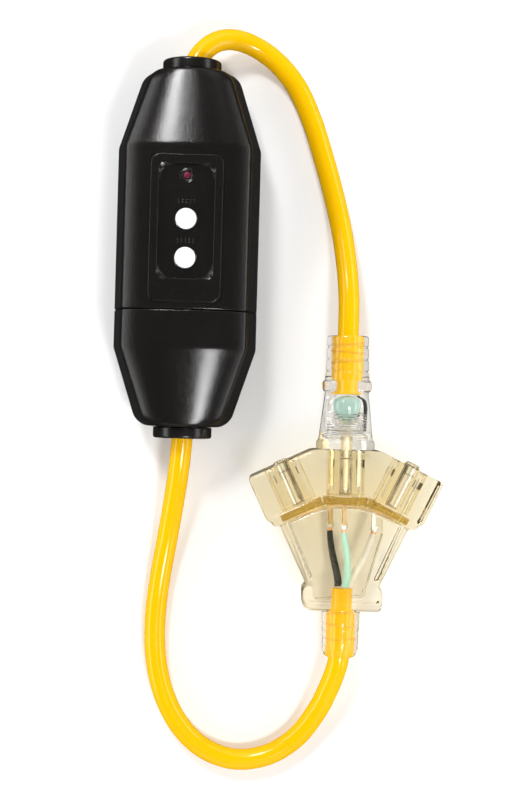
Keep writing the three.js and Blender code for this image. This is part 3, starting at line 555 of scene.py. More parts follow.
def make_stage():
    """A pale floor that glows a little far out, and a pale wall round it, so that no horizon shows."""
    floor_surface = Surface("pale_floor", (0.9, 0.9, 0.9), 0.6, Emission_Color=(1, 1, 1, 1))
    floor_surface.vary_color(floor_surface.noise(3, 2), 0.99, 1.01)
    distance = floor_surface.node("ShaderNodeVectorMath", operation="LENGTH")
    floor_surface.link(floor_surface.place, distance.inputs[0])
    glow = floor_surface.mapped(distance.outputs["Value"], GLOW_FROM, GLOW_TO)
    floor_surface.link(glow, floor_surface.shader.inputs["Emission Strength"])
    square = [(x * FLOOR_HALF, y * FLOOR_HALF, FLOOR_Z) for x, y in ((-1, -1), (1, -1), (1, 1), (-1, 1))]
    wall_surface = Surface("pale_wall", (0.85, 0.85, 0.85), 0.8, Emission_Color=(1, 1, 1, 1),
                           Emission_Strength=0.8)
    sides = 64
    wall = [(cos(tau * i / sides) * WALL_RADIUS, sin(tau * i / sides) * WALL_RADIUS, z)
            for z in WALL_HEIGHTS for i in range(sides)]
    faces = [(i, (i + 1) % sides, (i + 1) % sides + sides, i + sides) for i in range(sides)]
    for obj, surface in ((make_object("floor", square, [(0, 1, 2, 3)]), floor_surface),
                         (make_object("backdrop", wall, faces), wall_surface)):
        obj.data.materials.append(surface.material)
        obj.visible_glossy = False


def soft_light(name, place, target, size, power):
    data = bpy.data.lights.new(name, "AREA")
    data.shape = "RECTANGLE"
    data.size, data.size_y = size
    data.energy = power
    light = in_scene(name, data)
    light.location = place
    light.rotation_euler = (Vector(place) - Vector(target)).to_track_quat("Z", "Y").to_euler()


WORLD_STRENGTH = 0.1
WORLD_SHARES = (("Is Glossy Ray", 0.04), ("Is Transmission Ray", 0.5))
LAMPS = (
    ("side_left", (-1.45, 0.1, 0.68), (0, -0.05, 0), (2.4, 0.5), 11),
    ("side_right", (1.5, 0.0, 0.7), (0, -0.05, 0), (2.4, 0.5), 9),
    ("side_top", (0.1, 1.4, 0.8), (0, -0.05, 0), (1.8, 1.0), 3.2),
    ("side_low", (0.0, -1.55, 0.8), (0, -0.05, 0), (1.8, 1.0), 2.8),
    ("band_upper", (-0.34, 0.85, 1.1), (0, 0.07, 0.04), (0.24, 0.26), 9),
    ("band_upper_wide", (-0.42, 0.86, 1.12), (0, 0.07, 0.04), (0.56, 0.34), 1.6),
    ("band_lower", (0.37, -0.57, 1.1), (0, -0.07, 0.04), (0.24, 0.24), 6.4),
)


def make_lights():
    """A white world, dimmer for glossy rays and brighter for rays through clear plastic, and soft lamps."""
    world = bpy.data.worlds.new("studio")
    world.use_nodes = True
    nodes, links = world.node_tree.nodes, world.node_tree.links
    nodes["Background"].inputs["Color"].default_value = (1, 1, 1, 1)
    rays = nodes.new("ShaderNodeLightPath")
    value = None
    for ray, share in WORLD_SHARES:
        mix = nodes.new("ShaderNodeMix")
        mix.inputs["A"].default_value = WORLD_STRENGTH
        mix.inputs["B"].default_value = share
        if value:
            links.new(value, mix.inputs["A"])
        links.new(rays.outputs[ray], mix.inputs["Factor"])
        value = mix.outputs["Result"]
    links.new(value, nodes["Background"].inputs["Strength"])
    SCENE.world = world
    for lamp in LAMPS:
        soft_light(*lamp)
    SCENE.view_settings.view_transform = "Standard"


make_camera()
make_stage()
make_lights()


# ---- lead ----

def lead(name, points, node, body):
    line = route(points)
    obj = tube(name, line, CORD_RADIUS)
    place_piece(obj, JACKET, [node], body)
    return obj


upper_lead = lead("upper_lead", UPPER_ROUTE, "upper_cord", None)
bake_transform(upper_lead)
lead("lower_lead", LOWER_ROUTE, "lower_cord", "root")


# ---- module housing ----

WAIST_SOFT = 0.8
DRAFT = 4.2
SHOULDER = 0.72
SHOULDER_ROUND = 1.7
CROWN_POWER = 2.5
REAR_POWER = 4.0
REAR_FLAT = 13.0
HALF_GAP = 0.15
COLLAR_HOLE = 11.3


def module_size(y):
    """Half width, rise above the split and drop below it, at a place along the module."""
    past = abs(y) - WAIST_Y
    if past <= -WAIST_SOFT:
        past = 0
    elif past < WAIST_SOFT:
        past = (past + WAIST_SOFT) ** 2 / (4 * WAIST_SOFT)
    along = past / (MODULE_HALF - WAIST_Y)

    def turned_in(radius):
        left = max(0, radius - (MODULE_HALF - abs(y)))
        return radius - sqrt(max(0, radius ** 2 - left ** 2))

    def mix(a, b):
        return a + (b - a) * along

    end, edge = turned_in(END_ROUND), turned_in(EDGE_ROUND)
    return (mix(MODULE_HALF_WIDTH, END_HALF_WIDTH) - end, mix(MODULE_TOP_Z, END_TOP_Z) - SPLIT_Z - edge,
            SPLIT_Z - mix(0, END_BOTTOM_Z) - edge)


def front_quarter(w, h):
    """From a front shell's lip to its middle: a side with draft, a tight shoulder, a gently crowned front."""
    foot, corner = Vector((w, 0)), Vector((w - DRAFT, h * SHOULDER))

    def crown(x):
        return Vector((x, corner.y + (h - corner.y) * (1 - (x / corner.x) ** CROWN_POWER)))

    below = corner + (foot - corner).normalized() * SHOULDER_ROUND
    beyond = crown(corner.x - SHOULDER_ROUND)
    side = [foot.lerp(below, share) for share in (0.15, 0.4, 0.7)]
    front = [crown(beyond.x * (1 - i / 16)) for i in range(1, 17)]
    return side + bend(below, corner, beyond, 6) + front


def rear_quarter(w, h):
    """From a rear shell's lip to its middle: a rounded side and a flat back."""
    flat = max(2, w - REAR_FLAT)
    steps = 22
    arc = []
    for i in range(1, steps + 1):
        angle = pi / 2 * i / steps
        x = flat + (w - flat) * cos(angle) ** (2 / REAR_POWER) if i < steps else flat
        arc.append((x, h * sin(angle) ** (2 / REAR_POWER)))
    arc = [point for point in arc if point[1] > HALF_GAP + 0.8]
    return arc + [(flat * share, h) for share in (0.75, 0.5, 0.25, 0)]


def shell_section(y, side, inset):
    """Half a cross-section, from the right split edge round to the left one."""
    width, rise, drop = module_size(y)
    w = width - inset
    h = (rise if side > 0 else drop) - inset
    lip = [(w - 0.35, HALF_GAP), (w - 0.1, HALF_GAP + 0.12), (w, HALF_GAP + 0.4)]
    quarter = lip + (front_quarter if side > 0 else rear_quarter)(w, h)
    loop = quarter + [(-x, z) for x, z in reversed(quarter[:-1])]
    return [Vector((x, y, SPLIT_Z + side * z)) for x, z in loop]


def end_ring(y, side, radius, count):
    """The half round hole in an end wall, with as many points as a section."""
    points = []
    for i in range(count):
        angle = pi * i / (count - 1)
        z = max(HALF_GAP, radius * sin(angle))
        points.append(Vector((radius * cos(angle), y, SPLIT_Z + side * z)))
    return points


def housing_shell(name, seam, end, side):
    """A hollow half shell from the cross seam to an end wall with its half round hole."""
    sign = 1 if end > seam else -1
    low, high = min(seam, end), max(seam, end)
    clear = END_ROUND + 1
    straight = [y for y in range(-48, 49, 6) if low + 2 < y < high - 2]
    creases = [half * (WAIST_Y + d) for half in (-1, 1) for d in (-1.6, -0.8, -0.4, 0, 0.4, 0.8, 1.6)]
    cones = [half * y for half in (-1, 1) for y in (54, 60, 66, 72, 77)]
    turn = [end - sign * (radius - radius * sin(radians(a)))
            for radius, degrees in ((END_ROUND, range(0, 91, 9)), (EDGE_ROUND, range(0, 81, 15)))
            for a in degrees]
    middle = [y for y in straight + creases + cones if low + 1 < y < high - clear]
    middle += [y for y in cones if low + 1 < y < high - 1 and abs(y) < MODULE_HALF - clear]
    middle = [y for y in middle if abs(y) < WAIST_Y - 2.5 or y not in straight]
    lip = ((0, 0.5), (0.15, 0.2), (0.4, 0.05), (0.8, 0))
    stations = [(seam + sign * along, inset) for along, inset in lip]
    stations += [(y, 0) for y in sorted(set(middle + turn), reverse=sign < 0) if abs(y - seam) > 1.2]
    inner_end = sign * (MODULE_HALF - WALL)
    outer = [shell_section(y, side, inset) for y, inset in stations]
    inner = [shell_section(y if abs(y) < MODULE_HALF - WALL else inner_end, side, WALL)
             for y, _ in stations]
    count = len(outer[0])
    outer.append(end_ring(end, side, COLLAR_HOLE, count))
    inner.append(end_ring(inner_end, side, COLLAR_HOLE, count))
    points = [p for ring in outer + inner for p in ring]
    rings = len(outer)

    def at(layer, ring, i):
        return (layer * rings + ring) * count + i

    faces = []
    for ring in range(rings - 1):
        for i in range(count - 1):
            for near, far in ((at(0, ring, i), at(0, ring + 1, i)), (at(1, ring, i), at(1, ring + 1, i))):
                faces.append((near, near + 1, far + 1, far))
        faces += [(at(0, ring, i), at(0, ring + 1, i), at(1, ring + 1, i), at(1, ring, i))
                  for i in (0, count - 1)]
    for ring in (0, rings - 1):
        for i in range(count - 1):
            near, far = at(0, ring, i), at(1, ring, i)
            faces.append((near, near + 1, far + 1, far))
    return make_object(name, points, faces)


PAD = {"half": 17, "low": -26.3, "high": 42.5, "top": 44.3, "corner": 5, "edge": 0.6}
PAD_UNDERSIDE = 39.6
PANEL = {"half": 13, "low": -15.6, "high": 38.1, "floor": 42.6, "corner": 3}
BUTTON_HOLE = 5.3
LENS_HOLE = 1.9
MARK_ROWS = (TEST_Y + 8.2, RESET_Y + 7.9)


def round_rectangle(half, low, high, corner):
    return [(half, low, corner), (half, high, corner), (-half, high, corner), (-half, low, corner)]


def hole(radius, y, low=30, high=50):
    return lathe("hole", [(0, low), (radius, low), (radius, high), (0, high)], (0, y, 0), "Z", 48)


def plate_ring(shape, grow, z, soft=0.0):
    outline = round_rectangle(shape["half"] + grow, shape["low"] - grow, shape["high"] + grow,
                              shape["corner"] + grow + soft)
    return [Vector((*point, z)) for point in rounded(outline, steps=8)]


def front_panel():
    """The flat pad on the front with its sunk panel, button holes, indicator bezel and raised marks."""
    top, floor = PAD["top"], PANEL["floor"]
    edge = [(0.5, PAD_UNDERSIDE)]
    edge += [(-PAD["edge"] * (1 - cos(a)), top - PAD["edge"] * (1 - sin(a)))
             for a in [radians(d) for d in (8, 25, 40, 55, 68, 80, 90)]]
    rim = [(0.4 - 0.8 * t, top - (top - floor) * (0.66 * t + 0.34 * t ** 4), 6 * t)
           for t in [i / 12 for i in range(13)]]
    rings = [plate_ring(PAD, *place) for place in edge] + [plate_ring(PANEL, *place) for place in rim]
    pad = skin("button_panel", rings)
    cut(pad, [hole(BUTTON_HOLE, TEST_Y), hole(BUTTON_HOLE, RESET_Y), hole(LENS_HOLE, LENS_Y)])
    stud = [(0, floor - 0.2), (0.52, floor - 0.2), (0.5, floor + 0.02), (0.4, floor + 0.22),
            (0.2, floor + 0.33), (0, floor + 0.36)]
    parts = [pad]
    parts += [lathe("stud", stud, (x, y + rise, 0), "Z", 12)
              for y in MARK_ROWS for x in (-3.6, -1.8, 0, 1.8, 3.6) for rise in (-0.6, 0.6)]
    bezel = [(1.95, 41.5), (3.5, 41.5), (3.6, floor + 0.15, 0.15), (2.6, floor + 0.55, 0.3),
             (1.95, floor + 0.2, 0.3)]
    parts.append(lathe("bezel", bezel, (0, LENS_Y, 0), "Z", 48, True))
    return joined("button_panel", parts)


WELL = [(0, -1), (3.7, -1), (3.3, 0.4, 0.2), (3.3, 3.2), (0, 3.2)]
SCREW = [(0, 0.7), (1.4, 0.75, 0.6), (2.9, 1.4, 0.9), (3, 2.6, 0.3), (3, 2.9), (1.5, 2.9), (1.5, 30, 0.5),
         (0, 31.4)]


def make_housing():
    upper = SEAM_Y + HALF_GAP
    lower = SEAM_Y - HALF_GAP
    front = housing_shell("front_shell", upper, MODULE_HALF, 1)
    around_pad = round_rectangle(PAD["half"] - 1, PAD["low"] + 1, PAD["high"] - 1, PAD["corner"])
    cut(front, [prism("opening", around_pad, 36, 50)])
    place_piece(front, HOUSING, ["front_cover"])
    place_piece(front_panel(), HOUSING, ["front_cover"], sharp=40)
    rear = housing_shell("rear_shell", upper, MODULE_HALF, -1)
    end_front = housing_shell("end_shell_front", lower, -MODULE_HALF, 1)
    end_rear = housing_shell("end_shell_rear", lower, -MODULE_HALF, -1)
    wells = {"rear": [], "end": []}
    for index in range(1, 7):
        place = centre(f"housing_screw_{index}") / MM
        kind = "rear" if place.y > SEAM_Y else "end"
        wells[kind].append(lathe("well", WELL, (place.x, place.y, 0), "Z", 40))
        make_screw(index, place)
    place_piece(cut(rear, wells["rear"]), HOUSING, ["rear_cover"])
    place_piece(cut(end_rear, wells["end"]), HOUSING, ["end_cover_rear"])
    place_piece(end_front, HOUSING, ["end_cover_front"])


def make_screw(index, place):
    """A pan-head screw with a cross recess, its head down in the back's well."""
    head = lathe("screw", SCREW, (place.x, place.y, 0), "Z", 40)
    recess = [block("bit", (place.x - a, place.y - b, 0), (place.x + a, place.y + b, 1.9), 0.05)
              for a, b in ((1.7, 0.34), (0.34, 1.7))]
    cut(head, recess)
    head.name = f"pan_head_screw_{index}"
    place_piece(head, STEEL, [f"housing_screw_{index}"])


def make_collars():
    for name, side in (("line", 1), ("load", -1)):
        wall_in = MODULE_HALF - WALL - 0.4
        bore = CORD_RADIUS + 0.3
        profile = [(bore, wall_in - 2.2), (13, wall_in - 2.2), (13, wall_in - 0.3), (11, wall_in - 0.3),
                   (11, MODULE_HALF + 0.3), (COLLAR_RADIUS, MODULE_HALF + 0.3, 0.5),
                   (COLLAR_RADIUS, COLLAR_END, 1.3), (8.2, COLLAR_END, 0.8), (6.2, COLLAR_END - 3.2, 2),
                   (bore, COLLAR_END - 6)]
        profile = [(radius, side * along, *more) for radius, along, *more in profile]
        obj = lathe(f"{name}_collar", profile, (0, 0, SPLIT_Z), "Y", 72, True)
        place_piece(obj, COLLAR, [f"{name}_grommet"], sharp=45)


def make_buttons():
    for name, y in (("test", TEST_Y), ("reset", RESET_Y)):
        bottom, top = (corner[2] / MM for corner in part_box(f"{name}_button"))
        stem, collar, cap = 1.8, 6.2, 4.85
        profile = [(0, bottom), (stem, bottom, 0.3), (stem, 38.7), (collar, 38.7, 0.2), (collar, 40.1, 0.2),
                   (cap, 40.1), (cap, top, 0.5), (3.2, top - 0.12, 2), (0, top - 0.2)]
        obj = lathe(f"{name}_button_cap", profile, (0, y, 0), "Z", 64)
        place_piece(obj, BUTTON, [f"{name}_button"], f"{name}_button", sharp=50)


def make_indicator():
    glow = Surface("indicator_red", (0.16, 0.012, 0.045), 0.08, IOR=1.5, Coat_Weight=1.0,
                   Coat_Roughness=0.03)
    glow.vary_color(glow.noise(400, 2), 0.7, 1.4)
    glow.bump(glow.noise(900, 2), 0.01, 0.3)
    profile = [(0, 40.6), (1.5, 40.6), (1.75, 41.4, 0.2), (1.75, 42.2, 0.3), (1.3, 42.8, 0.8), (0, 43.0)]
    lens = lathe("indicator_dome", profile, (0, LENS_Y, 0), "Z", 48)
    place_piece(lens, glow.material, ["indicator_lens"], sharp=60)


SPRING_WIRE = 0.38
COIL_STEPS = 18
COIL_PITCH = 3.4 * SPRING_WIRE


def make_springs():
    """A wire coil for each spring that a moving piece presses."""
    for joint in frame["record"]["behaviour"]["joints"]:
        for row in joint["deforming_nodes"]:
            letter = row["mode"][-1]
            if row["mode"] != f"scale_{letter}":
                continue
            along = "xyz".index(letter)
            across = [index for index in range(3) if index != along]
            low, high = corners(row["node"])
            middle = (low + high) / 2
            radius = (high - low)[across[0]] / 2 - SPRING_WIRE
            whole = (high - low)[along]
            length = whole - 2 * SPRING_WIRE
            points = max(4, round(length / COIL_PITCH)) * COIL_STEPS
            line = []
            for index in range(points + 1):
                angle = 2 * pi * index / COIL_STEPS
                point = middle.copy()
                point[across[0]] += radius * cos(angle)
                point[across[1]] += radius * sin(angle)
                point[along] = low[along] + SPRING_WIRE + length * index / points
                line.append(point)
            coil = tube(f"{row['node']}_coil", line, SPRING_WIRE, 10, 0.1)
            place_piece(coil, STEEL, [row["node"]], sharp=0)
            anchor = list(middle * MM)
            anchor[along] = row[f"fixed_end_{letter}_m"]
            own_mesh(coil)


make_housing()
make_collars()
make_buttons()
make_indicator()
make_springs()


# ---- plug ----

def plug_section(y, width, height, power):
    return [Vector((AXIS_X + u * width, y, AXIS_Z + v * height)) for u, v in round_steps(72, power)]


def make_plug_body():
    """The clear moulding: a ringed strain relief, a squared step, a flaring grip and a base flange."""
    low = FACE_Y + FACE_GAP
    stations = [(PLUG_TOP_Y - drop, size, 2) for drop, size in ((0, 8.9), (0.3, 9.6), (0.9, 9.9))]
    for ring in range(3):
        y = PLUG_TOP_Y - 4.8 - 5.8 * ring
        size = 9.9 + 0.2 * ring
        groove = ((0, 0), (0.25, -0.15), (0.5, -0.45), (0.9, -0.45), (1.15, -0.1), (1.4, 0.05))
        stations += [(y - drop, size + change, 2) for drop, change in groove]
    stations += [(-60.0, 10.7, 2.2), (-60.4, 10.8, 2.6), (-60.8, 11.3, 4), (-61.4, 11.6, 5), (-64.6, 11.5, 5),
                 (-65.3, 11.2, 4), (-65.7, 10.7, 2.8), (-66.4, 10.5, 2.4), (-70, 10.9, 2.3), (-76, 11.6, 2.3),
                 (-82, 12.3, 2.3), (-86.5, 12.8, 2.3), (-88.4, 13.1, 2.3), (-89.1, 13.4, 2.3),
                 (-89.5, 13.9, 2.4), (-90, 14, 2.4), (low + 0.5, 14, 2.4), (low + 0.15, 13.9, 2.4),
                 (low, 13.5, 2.4)]
    rings = [plug_section(y, size, size * (1 if power < 2.1 else 0.97), power) for y, size, power in stations]
    body = skin("plug_moulding", rings)
    place_piece(body, CLEAR, ["plug_body"], "plug", sharp=70)


RING_LEAN = 0.12


def make_grip_rings(name, heights, body):
    """Shallow rings raised on the jacket where a moulding grips it; their darker orange is painted shade for
    the dark lines across the gripped lead.
    """
    inner, outer = CORD_RADIUS - 0.4, CORD_RADIUS + 0.22
    profile = [(inner, -0.5), (outer, -0.45, 0.2), (outer, 0.45, 0.2), (inner, 0.5)]
    rings = []
    for index, y in enumerate(heights):
        ring = lathe("ring", profile, (0, 0, 0), "Y", 48, True)
        turn = Matrix.Rotation(RING_LEAN * (-1) ** index, 4, "Z")
        ring.data.transform(Matrix.Translation(Vector((AXIS_X, y, AXIS_Z)) * MM) @ turn)
        rings.append(ring)
    place_piece(joined(name, rings), GRIP_RING_SHADE, [], body)


LAMP_BELOW = 2.6
LAMP_ABOVE = 0.96


def make_plug_core():
    """The ribbed inner moulding that holds the blades."""
    profile = [(0, -75.6), (5.4, -75.6, 0.8)]
    for rib in range(7):
        y = -76.5 - 1.3 * rib
        profile += [(5.7, y, 0.2), (6.7, y - 0.45, 0.2), (6.7, y - 0.7, 0.2), (5.7, y - 1.15, 0.2)]
    profile += [(6.3, -85.8, 0.4), (11.3, -86.1, 0.6), (11.3, -89.2, 0.5), (0, -89.2)]
    core = lathe("plug_ribbed_core", profile, (AXIS_X, 0, AXIS_Z), "Y", 64)
    middle = centre("plug_lamp") / MM
    lamp_low, lamp_high = corners("plug_lamp")
    reach = (lamp_high - lamp_low) / 2

    def capsule_shape(name, grow):
        profile = []
        for i in range(25):
            a = pi * (i / 24 - 0.5)
            share = LAMP_BELOW if a < 0 else LAMP_ABOVE
            profile.append(((reach.x + grow) * cos(a), middle.y + (reach.y * share + grow) * sin(a)))
        return lathe(name, profile, (middle.x, 0, middle.z), "Y", 48, squash=reach.z / reach.x, power=2.2)

    cut(core, [capsule_shape("cup", 0.15)])
    place_piece(core, CORE_CLEAR, ["plug_core"], "plug", sharp=60)
    capsule = capsule_shape("plug_lamp_capsule", 0)
    place_piece(capsule, LAMP, ["plug_lamp"], "plug", sharp=0)


def make_blades():
    for name, x, material, slot in (("hot", -SLOT_X, BRASS, "brass"), ("neutral", SLOT_X, NICKEL, "nickel")):
        low, high = corners(f"plug_{name}_blade")
        body = block("blade", low, high, 0.25)
        profile = [(0, -3), (1.6, -3), (1.6, 3), (0, 3)]
        cut(body, [lathe("bore", profile, (AXIS_X + x, low.y + 4.5, SLOT_Z), "X", 24)])
        body.name = f"plug_{name}_prong"
        no_shade(place_piece(body, material, [f"plug_{name}_blade"], "plug"))
    low, high = corners("plug_ground_pin")
    profile = [(0, low.y), (1.1, low.y, 0.4), (2.38, low.y + 2.2, 1.2), (2.38, high.y), (0, high.y)]
    pin = lathe("plug_ground_prong", profile, (AXIS_X, 0, GROUND_Z), "Y", 40)
    no_shade(place_piece(pin, BRASS, ["plug_ground_pin"], "plug"))


def make_plug_wires():
    for name, side, material in (("black", 1, BLACK_WIRE), ("white", -1, WHITE_WIRE)):
        points = [(AXIS_X + side * out, y, AXIS_Z - 1.6)
                  for out, y in ((3.7, -67.6), (5.2, -69.6), (5.8, -73), (5.9, -79), (5.9, -85))]
        wire = tube(f"plug_{name}_lead", route(points, 0.8), 0.42, 20, 0.15)
        place_piece(wire, material, [f"plug_{name}_wire"], "plug")


make_plug_body()
make_grip_rings("plug_grip_rings", [PLUG_TOP_Y - drop for drop in (4.0, 7.9, 12.4, 16.8)], "plug")
make_plug_core()
make_blades()
make_plug_wires()


# ---- connector ----

def polar(radius, angle):
    return FAN_CENTRE + Vector((sin(angle), cos(angle))) * radius


def outlet_point(angle, across, along):
    return polar(along, angle) + Vector((cos(angle), -sin(angle))) * across


def mirrored(points):
    """A right-hand outline completed by its mirror image in the connector's axis."""
    other = [(2 * AXIS_X - p[0], *p[1:]) for p in reversed(points)]
    return points + [p for p in other if abs(p[0] - AXIS_X) > 1e-4]


OUTLETS = {"left": -FAN_STEP, "middle": 0.0, "right": FAN_STEP}
HEAD_HALF_FACE = 17.2
HEAD_INNER = FAN_RADIUS - HEAD_DEPTH
BACK_HALF = 10.6
INSERT_HALF, INSERT_LOW, INSERT_HIGH, INSERT_DEPTH = 8.7, 5.6, 29.0, 21.5


def head_outline(outer=FAN_RADIUS, inner=HEAD_INNER, side=HEAD_HALF_FACE):
    ridge = outer / cos(FAN_STEP / 2)
    right = [(*polar(ridge, FAN_STEP / 2), 6),
             (*outlet_point(FAN_STEP, side, outer), 2.2),
             (*outlet_point(FAN_STEP, side, inner), 3.2)]
    arc = [(*polar(inner, FAN_STEP * share), 0) for share in (1.0, 0.75, 0.5, 0.25, 0)]
    return mirrored(right + arc)


def outlet_box(angle, across, along, low, high, edge=0.0, corner=0.0):
    """A box in one outlet's own frame: across its face, along its axis from the face, and in height."""
    (left, right), (inner, outer) = across, [FAN_RADIUS + depth for depth in along]
    outline = [(*outlet_point(angle, *place), corner)
               for place in ((left, inner), (right, inner), (right, outer), (left, outer))]
    return prism("part", outline, low, high, edge, 2)


def outlet_hole(angle, radius, depth):
    """The round earth hole of one outlet, as a solid."""
    profile = [(0, FAN_RADIUS - depth), (radius, FAN_RADIUS - depth, 0.6), (radius, FAN_RADIUS + 2),
               (0, FAN_RADIUS + 2)]
    obj = lathe("earth", profile, (0, 0, GROUND_Z), "Y", 32)
    turn = Matrix.Translation((FAN_CENTRE.x * MM, FAN_CENTRE.y * MM, 0)) @ Matrix.Rotation(-angle, 4, "Z")
    obj.data.transform(turn)
    return obj


def outlet_rooms(angle, extra):
    """The two slots and the earth hole of one outlet, made larger by extra."""
    rooms = []
    for x, width in ((-SLOT_X, 6.95), (SLOT_X, 8.5)):
        half = width / 2 + 0.3 + extra
        rooms.append(outlet_box(angle, (x - 1.15 - extra, x + 1.15 + extra), (-19.2 - extra, 2),
                                SLOT_Z - half, SLOT_Z + half))
    rooms.append(outlet_hole(angle, 2.75 + extra, 20.8 + extra))
    return rooms


def connector_tail():
    """The ringed strain relief where the lower lead enters."""
    profile = [(0, FOOT_Y - 8), (9, FOOT_Y - 8), (9.05, -175.8)]
    for ring in range(4):
        y = -176.6 - 3.4 * ring
        size = 9 - 0.1 * ring
        profile += [(size - less, y - drop, 0.2)
                    for less, drop in ((0, 0), (0.35, 0.4), (0.35, 0.8), (0.08, 1.2))]
    profile += [(8.6, -189.4, 1), (7.4, -192.4, 1.4), (5.6, TAIL_Y), (0, TAIL_Y)]
    return lathe("tail", profile, (AXIS_X, 0, AXIS_Z), "Y", 56)


def make_connector_body():
    """The amber moulding: fan-shaped head with coved back, wedge, stepped foot and tail."""
    head = prism("head", head_outline(), 0, HEAD_TOP_Z, 2.6, 5)
    coves = []
    for reach, low, high in ((0.8, 1.2, 31.8), (1.6, 2.0, 30.9), (2.4, 2.8, 30.1), (3.2, 3.4, 29.5)):
        outline = head_outline(inner=HEAD_INNER - reach, outer=FAN_RADIUS - 6, side=HEAD_HALF_FACE - 1.5)
        coves.append(prism("cove", outline, low, high))
    wedge = prism("wedge", mirrored([(AXIS_X + 22, -112), (AXIS_X + 33.4, -124.1), (AXIS_X + 17.5, -157.7),
                                     (AXIS_X + 17.5, FOOT_Y - 3)]), 4.5, 28.5, 3.4, 2)
    feet = []
    for drop, half, edge in ((12.2, 7.5, 5.5), (10.6, 11, 5), (9, 12.5, 3.5)):
        outline = [(AXIS_X - 19, FOOT_Y, 3), (AXIS_X - 19, FOOT_Y - drop, 5),
                   (AXIS_X + 19, FOOT_Y - drop, 2.5), (AXIS_X + 19, FOOT_Y, 3)]
        feet.append(prism("foot", outline, AXIS_Z - half, AXIS_Z + half, edge, 6))
    ribs = [outlet_box(OUTLETS[name], (-3.4, 3.4), (-2, 1.8), HEAD_TOP_Z - 3.6, HEAD_TOP_Z - 0.4, 0.4, 0.6)
            for name in ("left", "right")]
    bead = ((29.4, -122), (30.9, -122.6), (16.9, -155), (15.4, -154.4))
    beads = [prism("bead", [(AXIS_X + side * x, y) for x, y in bead], 20, 29.5) for side in (-1, 1)]
    parts = [head, wedge, connector_tail()] + feet + coves + ribs + beads
    body = moulded("connector_moulding", parts, 0.5, 4)
    cut(body, [room for angle in OUTLETS.values() for room in outlet_rooms(angle, 0)])
    place_piece(body, AMBER, ["connector_body"], sharp=50)


def make_insert(name, angle):
    """One outlet's inner block, sunk just behind the face, round its slots and earth hole."""
    body = outlet_box(angle, (-INSERT_HALF, INSERT_HALF), (-INSERT_DEPTH, -0.4), INSERT_LOW, INSERT_HIGH,
                      0.5, 0.7)
    cut(body, outlet_rooms(angle, 0.35))
    body.name = f"outlet_block_{name}"
    no_shade(place_piece(body, AMBER_INSERT, [f"outlet_insert_{name}"], sharp=30))
    # A wall behind the block, dense dark amber: painted shade for the darker band along the head's coved
    # back.
    wall = outlet_box(angle, (-BACK_HALF, BACK_HALF), (-25.2, -22), INSERT_LOW, INSERT_HIGH, 0.4, 0.6)
    wall.name = f"outlet_back_wall_{name}"
    no_shade(place_piece(wall, AMBER_WALL_SHADE, [], sharp=30))


def make_inner_moulding():
    """The block inside the wedge, moulded round the wires' ends before the outer vinyl."""
    arc = [polar(43.5, radians(degrees)) for degrees in (-31, -20, -10, 0, 10, 20, 25)]
    sides = [(AXIS_X + 18.6, -133.5, 3), (AXIS_X + 10.4, -163.4, 3), (AXIS_X - 13.6, -165.4, 3),
             (AXIS_X - 14.6, -155.5, 4), (AXIS_X - 26.8, -129.5, 1.5)]
    moulding = prism("connector_inner_moulding", arc + sides, 8, 25, 1.2, 3)
    no_shade(place_piece(moulding, AMBER_CORE, []))


def arc_band(inner, outer, reach, low, high, steps=36):
    outside = [polar(outer, reach * (1 - 2 * i / steps)) for i in range(steps + 1)]
    inside = [polar(inner, -reach * (1 - 2 * i / steps)) for i in range(steps + 1)]
    return prism("band", outside + inside, low, high, 0.15, 2)


# the hot and ground strips take the darker copy of the brass, which is painted shade
STRIPS = (
    ("hot", SHADED_BRASS, "brass", -6.2, -129.4, -SLOT_X - 0.95),
    ("neutral", NICKEL, "nickel", 14.4, -131.1, SLOT_X + 0.95),
    ("ground", SHADED_BRASS, "brass", 0, -129.4, 2.55),
)


def make_strips():
    """The three metal strips with their tails and the spring leaves that grip a plug's blades."""
    arc = HEAD_INNER - 2.4
    for name, material, slot, tail_x, tail_y, across in STRIPS:
        low, high = (corner[2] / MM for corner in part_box(f"{name}_strip"))
        thin, half, middle = (0.1, 0.7, GROUND_Z) if name == "ground" else (0.16, 3.0, SLOT_Z)
        tail_x += AXIS_X
        parts = [arc_band(arc, arc + 0.9, radians(31), low, high),
                 block("tail", (tail_x - 1.0, tail_y, low), (tail_x + 1.0, -118.2, high), 0.3)]
        parts += [outlet_box(angle, (across - thin, across + thin), (-HEAD_DEPTH - 1.8, -3.4),
                             middle - half, middle + half) for angle in OUTLETS.values()]
        strip = joined(f"{name}_contact_strip", parts)
        no_shade(place_piece(strip, material, [f"{name}_strip"], sharp=30))


def make_leaf_tips():
    """The spring clips at the mouth of each slot, near black: painted shade for the dark slot mouths."""
    tips = []
    for angle in OUTLETS.values():
        for side in (-1, 1):
            for inner, outer in ((1.9, 2.3), (-0.9, -0.5)):
                spread = sorted((side * (SLOT_X + inner), side * (SLOT_X + outer)))
                tips.append(outlet_box(angle, spread, (-8.2, -4.6), SLOT_Z - 3.2, SLOT_Z + 3.2, 0.08))
        tips.append(outlet_box(angle, (-3.1, 3.1), (-4.1, -3.7), GROUND_Z + 3.3, GROUND_Z + 4.4, 0.1))
    no_shade(place_piece(joined("outlet_leaf_tips", tips), SLOT_MOUTH_SHADE, [], sharp=30))


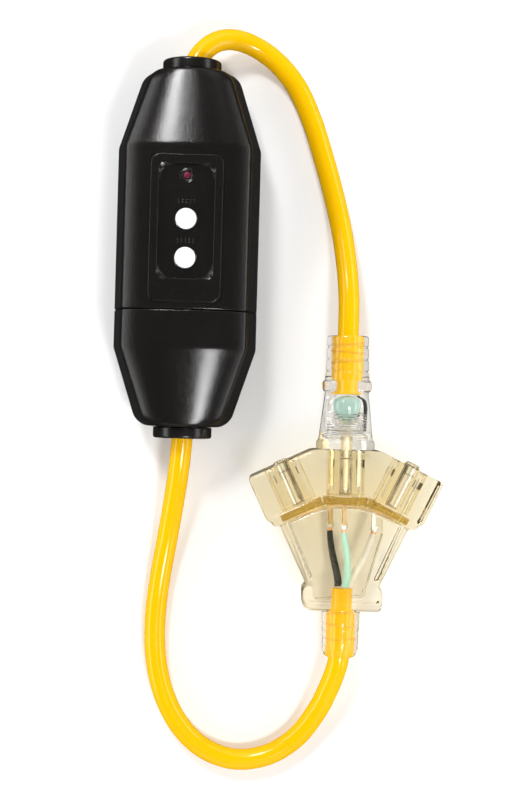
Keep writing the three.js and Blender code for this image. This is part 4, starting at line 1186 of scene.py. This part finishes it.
CONNECTOR_WIRES = {
    "black": (BLACK_WIRE, [(-1.6, -158.9, 14.6), (-2.2, -154, 13.4), (-4.6, -144, 11), (-6, -136, 10),
                           (-6.2, -132.6, 9.6)]),
    "green": (GREEN_WIRE, [(1.4, -158.9, 19.2), (2.2, -154, 20.5), (1.8, -144, 22.4), (0.4, -136, 23.4),
                           (0, -132.6, 23.5)]),
    "white": (WHITE_WIRE, [(2.6, -158.9, 14.4), (5.4, -154, 14.6), (10.4, -144, 16), (13.4, -136, 16.4),
                           (14.2, -133.4, 16.5)]),
}


def make_connector_wires():
    """The three conductors fanning out to the strips, each with its bare strands and a crimp."""
    for name, (material, run) in CONNECTOR_WIRES.items():
        run = [Vector(p) + Vector((AXIS_X, 0, 0)) for p in run]
        wire = tube(f"connector_{name}_lead", route(run, 0.8), lambda share: 1.9 - 0.5 * share, 24, 0.4)
        place_piece(wire, material, [f"connector_{name}_wire"])
        top = run[-1]
        ahead = (run[-1] - run[-2]).normalized()
        for piece, places, radius, sides, ends, metal_kind, slot in (
                ("strands", (-1.0, 1.0, 3.4), 1.15, 16, 0.2, COPPER, "copper"),
                ("crimp", (1.4, 3.0, 4.6), 1.9, 20, 0.5, NICKEL, "nickel")):
            end = tube(f"connector_{name}_{piece}", [top + ahead * a for a in places], radius, sides, ends)
            place_piece(end, metal_kind, [])


make_connector_body()
make_grip_rings("tail_grip_rings", (-171.4, -177.6, -184.2), "root")
make_inner_moulding()
for outlet, turn_angle in OUTLETS.items():
    make_insert(outlet, turn_angle)
make_strips()
make_leaf_tips()
make_connector_wires()


# ---- pieces kept from the frame ----

SLOT_MATERIALS = dict(
    housing=HOUSING, rubber=COLLAR, steel=STEEL, copper=COPPER, brass=BRASS, nickel=NICKEL,
    black_wire=BLACK_WIRE, white_wire=WHITE_WIRE, green_wire=GREEN_WIRE,
    led=smooth_plastic("indicator_lamp_red", (0.6, 0.05, 0.05), 0.2),
    fibreglass=smooth_plastic("board_green", (0.02, 0.13, 0.05), 0.4, 0.02),
    nylon=smooth_plastic("natural_nylon", (0.76, 0.72, 0.6), 0.45, 0.02),
    epoxy=grained_plastic("potting_resin", (0.02, 0.022, 0.025), 0.4, 0.06, 1300),
    varistor=smooth_plastic("dipped_blue", (0.03, 0.14, 0.42), 0.35, 0.04),
)


def dress_kept_nodes():
    for row in frame["record"]["subparts"]:
        node = frame["nodes"][row["node"]]
        if node.hide_render:
            continue
        node.data.materials.clear()
        node.data.materials.append(SLOT_MATERIALS[row["material_slot"]])


dress_kept_nodes()
